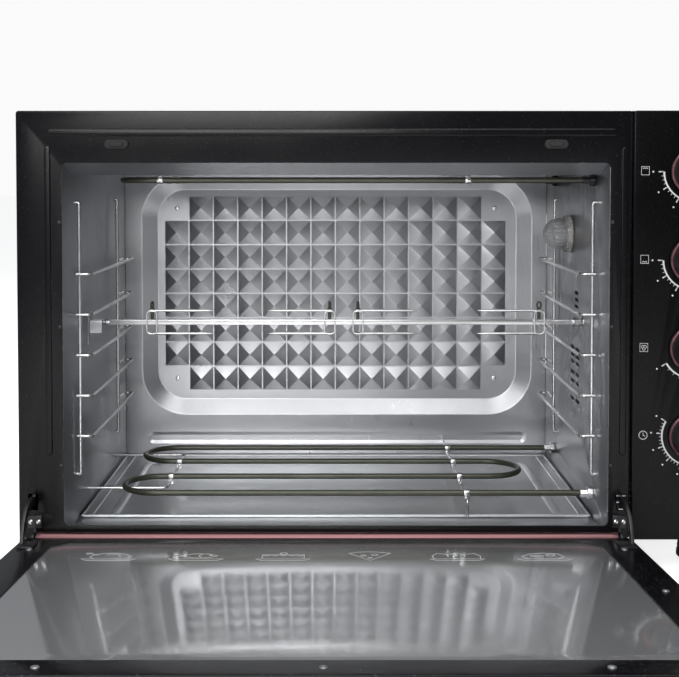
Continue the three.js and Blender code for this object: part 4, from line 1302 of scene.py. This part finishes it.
def make_spit():
    wall = cavity_x + half_width
    left = cavity_x - 257
    h = 2.97
    square = brick((left, spit_y - h, spit_z - h), (cavity_x + 290, spit_y + h, spit_z + h), 0.55, 3)
    axis = (0, spit_y, spit_z)
    journal = [(0, left + 1), (2.4, left + 1), (2.4, left - 2), (3.6, left - 2.2), (3.6, left - 4),
               (2.6, left - 4.2), (2.6, left - 15), (1.4, left - 17), (0, left - 17)]
    journal = turned(rounded(journal, 0.4, 3), "x", axis, 40)
    near, far = cavity_x + 268.5, cavity_x + 271.5
    collar = turned(rounded([(0, near), (5.2, near), (5.2, far), (0, far)], 0.7, 4), "x", axis, 48)
    piece("spit_rod_bar", merged([square, journal, collar]), "rotisserie", WIRE, ["spit_rod"])
    socket = [(0, wall + 1.6), (6.4, wall + 1.6), (7, wall + 2.4), (7, wall + 15.6), (4, wall + 15.6),
              (4, wall + 52), (0, wall + 52)]
    socket = turned(rounded(socket, 0.5, 3), "x", axis, 56, 28, 0.3)
    hollow = brick((wall - 1, spit_y - 3.3, spit_z - 3.3), (wall + 10.6, spit_y + 3.3, spit_z + 3.3))
    piece("drive_socket_turning", carved(socket, hollow), "rotisserie", WIRE, ["drive_socket"])
    eyelet = [(5.0, wall - 0.9), (5.0, wall + 0.4), (7.0, wall + 0.4), (7.0, wall - 0.5),
              (6.2, wall - 1.4), (5.0, wall - 0.9)]
    eyelet = turned(rounded(eyelet, 0.4, 3)[:-1], "x", axis, 48)
    piece("spit_hole_eyelet", eyelet, "oven", WIRE)
    edged("spit_bearing", "spit_bearing_pressing", "oven", WALL_STEEL_PAINTED_SHADE, 0.4, 3)


FORKS = ((-208.5, 1, 65), (-7, -1, 70), (25, 1, 70), (230.6, -1, 15))


def pointed(points, radius, sides=14):
    """A round bar with the end of its last stretch ground to a point."""
    mesh = bar(points, radius, sides)
    end = Vector(points[-1]) * MM
    for vertex in mesh.vertices:
        if (vertex.co - end).length < radius * 1.2 * MM:
            vertex.co = end + (vertex.co - end) * 0.15
    return mesh


def make_forks():
    for number, (x, faces, wing_turn) in enumerate(FORKS, 1):
        name = f"spit_fork_{number}"
        cx = cavity_x + x
        outer, inner = 13.8, 12.2
        y, z = spit_y, spit_z
        outlines = [oblong(cx - 6.4, cx + 6.4, z - outer, z + outer, 5, 10),
                    oblong(cx - 4.8, cx + 4.8, z - inner, z + inner, 3.4, 10)]
        strap = plate(outlines, "y", y - 5, y + 5, 0.5, 3)
        strap = carved(strap, brick((cx - 8, y - 3.3, z - 3.3), (cx + 8, y + 3.3, z + 3.3)))
        nut = [(2.4, inner - 0.4), (4.4, inner - 0.4), (4.4, outer + 0.5), (2.4, outer + 0.5)]
        nut = turned(nut, "z", (cx, y, z), 6)
        prongs = [pointed([(cx + faces * reach, y, z + rise) for reach in (2, 60, 69.9)], 1.55)
                  for rise in (-13, 13)]
        piece(name + "_prongs", merged([strap, nut, *prongs]), f"fork_{number}", WIRE, [name])
        stem = [(0, 3.5), (1.9, 3.5), (1.9, outer + 0.6), (2.7, outer + 0.9), (2.7, outer + 2.2),
                (0, outer + 2.2)]
        stem = turned(stem, "z", (cx, y, z), 24)
        turn = math.radians(wing_turn)
        loop = []
        for step in range(28):
            t = 2 * math.pi * step / 28
            across = 2.4 * math.cos(t)
            loop.append((cx + across * math.cos(turn), y + across * math.sin(turn),
                         z + outer + 5.5 + 3.5 * math.sin(t)))
        wing = merged([stem, bar(loop, 1.15, 12, True)])
        name = f"fork_screw_{number}"
        piece(name + "_wing", wing, f"screw_{number}", SHEATH, [name])


# ---- Convection fan ----

def make_fan():
    at = middle("fan_wheel")
    x0 = cavity_x + half_width
    disc = x0 + 22
    blades = []
    for i in range(8):
        blade = plate([[(0, 8), (0, 47), (3, 47), (13.6, 44), (13.6, 8)]], "z", -0.6, 0.6, 0.2, 1)
        blade.transform(Matrix.Translation((disc * MM - 13.8 * MM, 0, 0)))
        blade.transform(Matrix.Rotation(math.pi / 4 * i, 4, "X"))
        blade.transform(Matrix.Translation((0, at.y * MM, at.z * MM)))
        blades.append(blade)
    wheel = [(0, x0 + 10), (8, x0 + 10), (10, x0 + 12), (10, disc), (47.6, disc), (48, disc + 0.7),
             (47.6, disc + 1.4), (3, disc + 1.4), (3, x0 + 46), (0, x0 + 46)]
    wheel = turned(rounded(wheel, 0.5, 3), "x", (0, at.y, at.z), 64)
    piece("fan_wheel_blades", merged([wheel, *blades]), "fan", ZINC, ["fan_wheel"])


def dress_hidden_nodes():
    """The parts behind the panels keep their own shapes and take a finish."""
    finishes = {
        "base_plate": ZINC, "air_duct": ZINC, "rotisserie_motor": ZINC, "fan_motor": COPPER,
        "thermostat_upper": PHENOLIC, "thermostat_lower": PHENOLIC, "function_switch": PHENOLIC,
        "timer_unit": PHENOLIC, "lamp_bulb": GLASS,
    }
    for name, finish in finishes.items():
        for holder in nodes[name].material_slots:
            holder.material = finish


# ---- Door ----

def make_door_frame():
    side = 308.0
    outside = oblong(-side, side, 8.3, 423.5, 6)
    window = oblong(-262, 262, 44, 372, 10)
    body = plate([outside, window], "y", -14.2, -1.3, 0.5, 2)
    inner = plate([outside, chamfered(-272.3, 272.3, 31.7, 390.3, 14)], "y", -1.6, 3.5, 0.9, 3)
    outer = plate([outside, oblong(-302.3, 302.3, 19.7, 384.3, 6)], "y", -18.5, -13.9, 1.2, 4)
    pressing = opened(merged([body, inner, outer]))
    piece("door_frame_pressing", pressing, "door", ENAMEL, ["door_frame"])
    pane = plate([chamfered(-272, 272, 32, 390, 14)], "y", -1.0, 3.0, 0.4, 2)
    piece("door_inner_pane", opened(pane), "door", PANE, ["door_inner_glass"])
    pane = plate([oblong(-302, 302, 20, 384, 6)], "y", -18.5, -14.5, 0.5, 3)
    piece("door_outer_pane", opened(pane), "door", DARK_PANE, ["door_outer_glass"])
    screws = [(x, 3.5, z) for x in (-290, 290) for z in (60, 210, 370)]
    screws += [(x, 3.5, 407) for x in (-200, 0, 200)]
    piece("door_screws", opened(copies(screw_head(3.2, 1.1), screws, (-math.pi / 2, 0, 0))), "door", ZINC)


def food_signs():
    """Six line drawings of dishes, each about 55 mm wide and 40 mm high, about its own middle."""
    dish = [(-26, -12), (26, -12), (20, -18), (-20, -18)]
    bird = [(-18, -10), (-20, -2), (-14, 6), (-4, 11), (8, 10), (17, 3), (19, -5), (15, -10)]
    leg = [(12, 2), (20, 8), (24, 7), (25, 10), (22, 11), (19, 10)]
    wing = arc(-2, 0, 7, 200, 20, 10)
    fish = [(-20, 0), (-10, 8), (4, 8), (14, 1), (22, 8), (22, -8), (14, -1), (4, -8), (-10, -8)]
    cake = [(-20, -12), (-20, 4), (20, 4), (20, -12)]
    cream = [(x, -1 if x % 8 == 0 else 4) for x in range(-20, 21, 4)]
    slice_line = [(-20, 10), (0, -18), (20, 10)]
    crust = arc(0, -18, 34, 54, 126, 12)
    loaf = [(-22, -12), (-23, 0), (-18, 9), (-8, 6), (0, 9), (8, 6), (18, 9), (23, 0), (22, -12)]
    chop = [(-20, -4), (-16, 8), (-2, 11), (12, 7), (20, -2), (16, -11), (2, -13), (-12, -12)]
    return [
        [(dish, True), (bird, False), (leg, False), (wing, False)],
        [(dish, True), (fish, True), (arc(-13, 2, 1.2, 0, 330, 8), True), (arc(-8, 0, 6, -60, 60, 8), False)],
        [(dish, True), (cake, True), (cream, False), (arc(0, 9, 3.5, 0, 330, 10), True)],
        [(slice_line, False), (crust, False), (arc(-5, 4, 3, 0, 330, 10), True),
         (arc(6, 1, 2.4, 0, 330, 10), True), (arc(0, -8, 2, 0, 330, 10), True)],
        [(dish, True), (loaf, True), ([(-8, 6), (-8, -3)], False), ([(8, 6), (8, -3)], False),
         ([(0, 9), (0, 0)], False)],
        [(dish, True), (chop, True), (arc(-8, 3, 4, 0, 330, 12), True), ([(0, -6), (12, -2)], False),
         ([(-2, 0), (12, 3)], False)],
    ]


def make_door_print():
    lines = []
    for number, drawing in enumerate(food_signs()):
        x, z = 82.5 * (number - 2.5), 83.0
        for points, closed in drawing:
            lines.append(bar([(x - u, 3.0, z - v) for u, v in points], 0.55, 6, closed))
    print_mesh = merged(lines)
    for vertex in print_mesh.vertices:
        vertex.co.y = 3.0 * MM + (vertex.co.y - 3.0 * MM) * 0.2
    piece("door_pane_print", opened(print_mesh), "door", INK)


def make_rail_and_handle():
    half = [(0, 304), (2.6, 304), (2.6, 297), (7.3, 297), (7.45, 296)]
    profile = [(radius, -x) for radius, x in half] + half[::-1]
    rail = turned(rounded(profile, 0.5, 2), "x", (0, 0, 0), 40)
    web = brick((-296, -12, 3), (296, 2, 7.9), 0.8, 3)
    piece("door_rail_extrusion", opened(merged([rail, web])), "door", ROSE, ["door_rail"])
    corners = [(x, y, 404) for x, y in ((-215, -18.9), (-215, -43.5), (215, -43.5), (215, -18.9))]
    grip = bar(route(corners, 12, 12), 7.0, 32)
    collars = [turned(rounded([(0, -18.8), (10.5, -18.8), (10.5, -20.4), (9, -22), (0, -22)], 0.7, 3), "y",
                      (x, 0, 404), 40) for x in (-215, 215)]
    piece("door_handle_tube", opened(merged([grip, *collars])), "door", ROSE, ["door_handle"])
    for end in ("left", "right"):
        edged(f"door_arm_{end}", f"door_arm_{end}_pressing", "door", DARK_STEEL, 0.35, 2)


# ---- Floor and lights ----

def make_stage():
    reach = 40000
    corners = [(x * reach, y * reach, 0) for x, y in ((-1, -1), (1, -1), (1, 1), (-1, 1))]
    floor = mesh_of(corners, [(0, 1, 2, 3)])
    obj = bpy.data.objects.new("floor", floor)
    scene.collection.objects.link(obj)
    finish = Finish("pale_floor", (0.86, 0.86, 0.86), 0.8, Emission_Color=(1.0, 1.0, 1.0, 1.0))
    # Painted light: for all rays but the camera's the floor glows in a pool round a spot in front of the
    # oven, lighting it as a lamp would; the camera sees the floor evenly bright.
    away = node(finish.tree, "ShaderNodeVectorMath", operation="DISTANCE")
    finish.tree.links.new(finish.coordinates, away.inputs[0])
    away.inputs[1].default_value = (-0.05, -1.0, 0.0)
    near = math_node(finish.tree, "SUBTRACT", 1.25, away.outputs["Value"], clamp=True)
    looked_at = node(finish.tree, "ShaderNodeLightPath").outputs["Is Camera Ray"]
    glow = math_node(finish.tree, "MAXIMUM", math_node(finish.tree, "MULTIPLY", near, 0.6),
                     math_node(finish.tree, "MULTIPLY", looked_at, 0.78))
    finish.tree.links.new(glow, finish.shader.inputs["Emission Strength"])
    floor.materials.append(finish.tint(finish.noise(2.0, 3.0), (0.82, 0.82, 0.82), 0.5).done())
    scene.view_settings.view_transform = "Standard"
    world = bpy.data.worlds.new("pale_room")
    scene.world = world
    world.use_nodes = True
    tree = world.node_tree
    sky = tree.nodes["Background"]
    sky.inputs["Strength"].default_value = 1.0
    seen = node(tree, "ShaderNodeLightPath").outputs["Is Camera Ray"]
    mix = node(tree, "ShaderNodeMix", data_type="RGBA")
    mix.inputs[6].default_value = (0.17, 0.175, 0.185, 1.0)
    mix.inputs[7].default_value = (0.96, 0.96, 0.96, 1.0)
    tree.links.new(seen, mix.inputs["Factor"])
    tree.links.new(mix.outputs[2], sky.inputs["Color"])

    def softbox(name, place, target, width, height, power):
        data = bpy.data.lights.new(name, "AREA")
        data.shape = "RECTANGLE"
        data.size, data.size_y = width, height
        data.energy = power
        light = bpy.data.objects.new(name, data)
        light.location = place
        light.rotation_euler = (Vector(target) - Vector(place)).to_track_quat("-Z", "Y").to_euler()
        scene.collection.objects.link(light)

    softbox("front_box", (-0.45, -2.1, 0.74), (-0.05, 0.3, 0.3), 1.1, 0.42, 13)
    softbox("high_front_box", (-0.1, -1.6, 1.6), (-0.05, 0.3, 0.1), 1.5, 0.8, 13)
    softbox("left_box", (-2.2, -0.6, 1.2), (0.0, 0.0, 0.2), 1.0, 1.6, 5)
    softbox("top_box", (0.0, -0.3, 2.4), (0.0, -0.2, 0.1), 2.2, 2.2, 34)
    softbox("rear_box", (1.4, 2.2, 1.6), (0.0, 0.0, 0.25), 1.6, 1.6, 26)


make_outer_wrap()
make_back_cover()
make_feet()
make_gland()
make_front_frame()
make_buffers()
make_hinge_lugs()
make_fascia()
make_knobs()
make_indicator()
make_walls()
make_back_panel()
make_ceiling()
make_floor()
make_heaters()
make_supports()
make_rack_guides()
make_lamp()
make_spit()
make_forks()
make_fan()
dress_hidden_nodes()
make_door_frame()
make_door_print()
make_rail_and_handle()
make_stage()
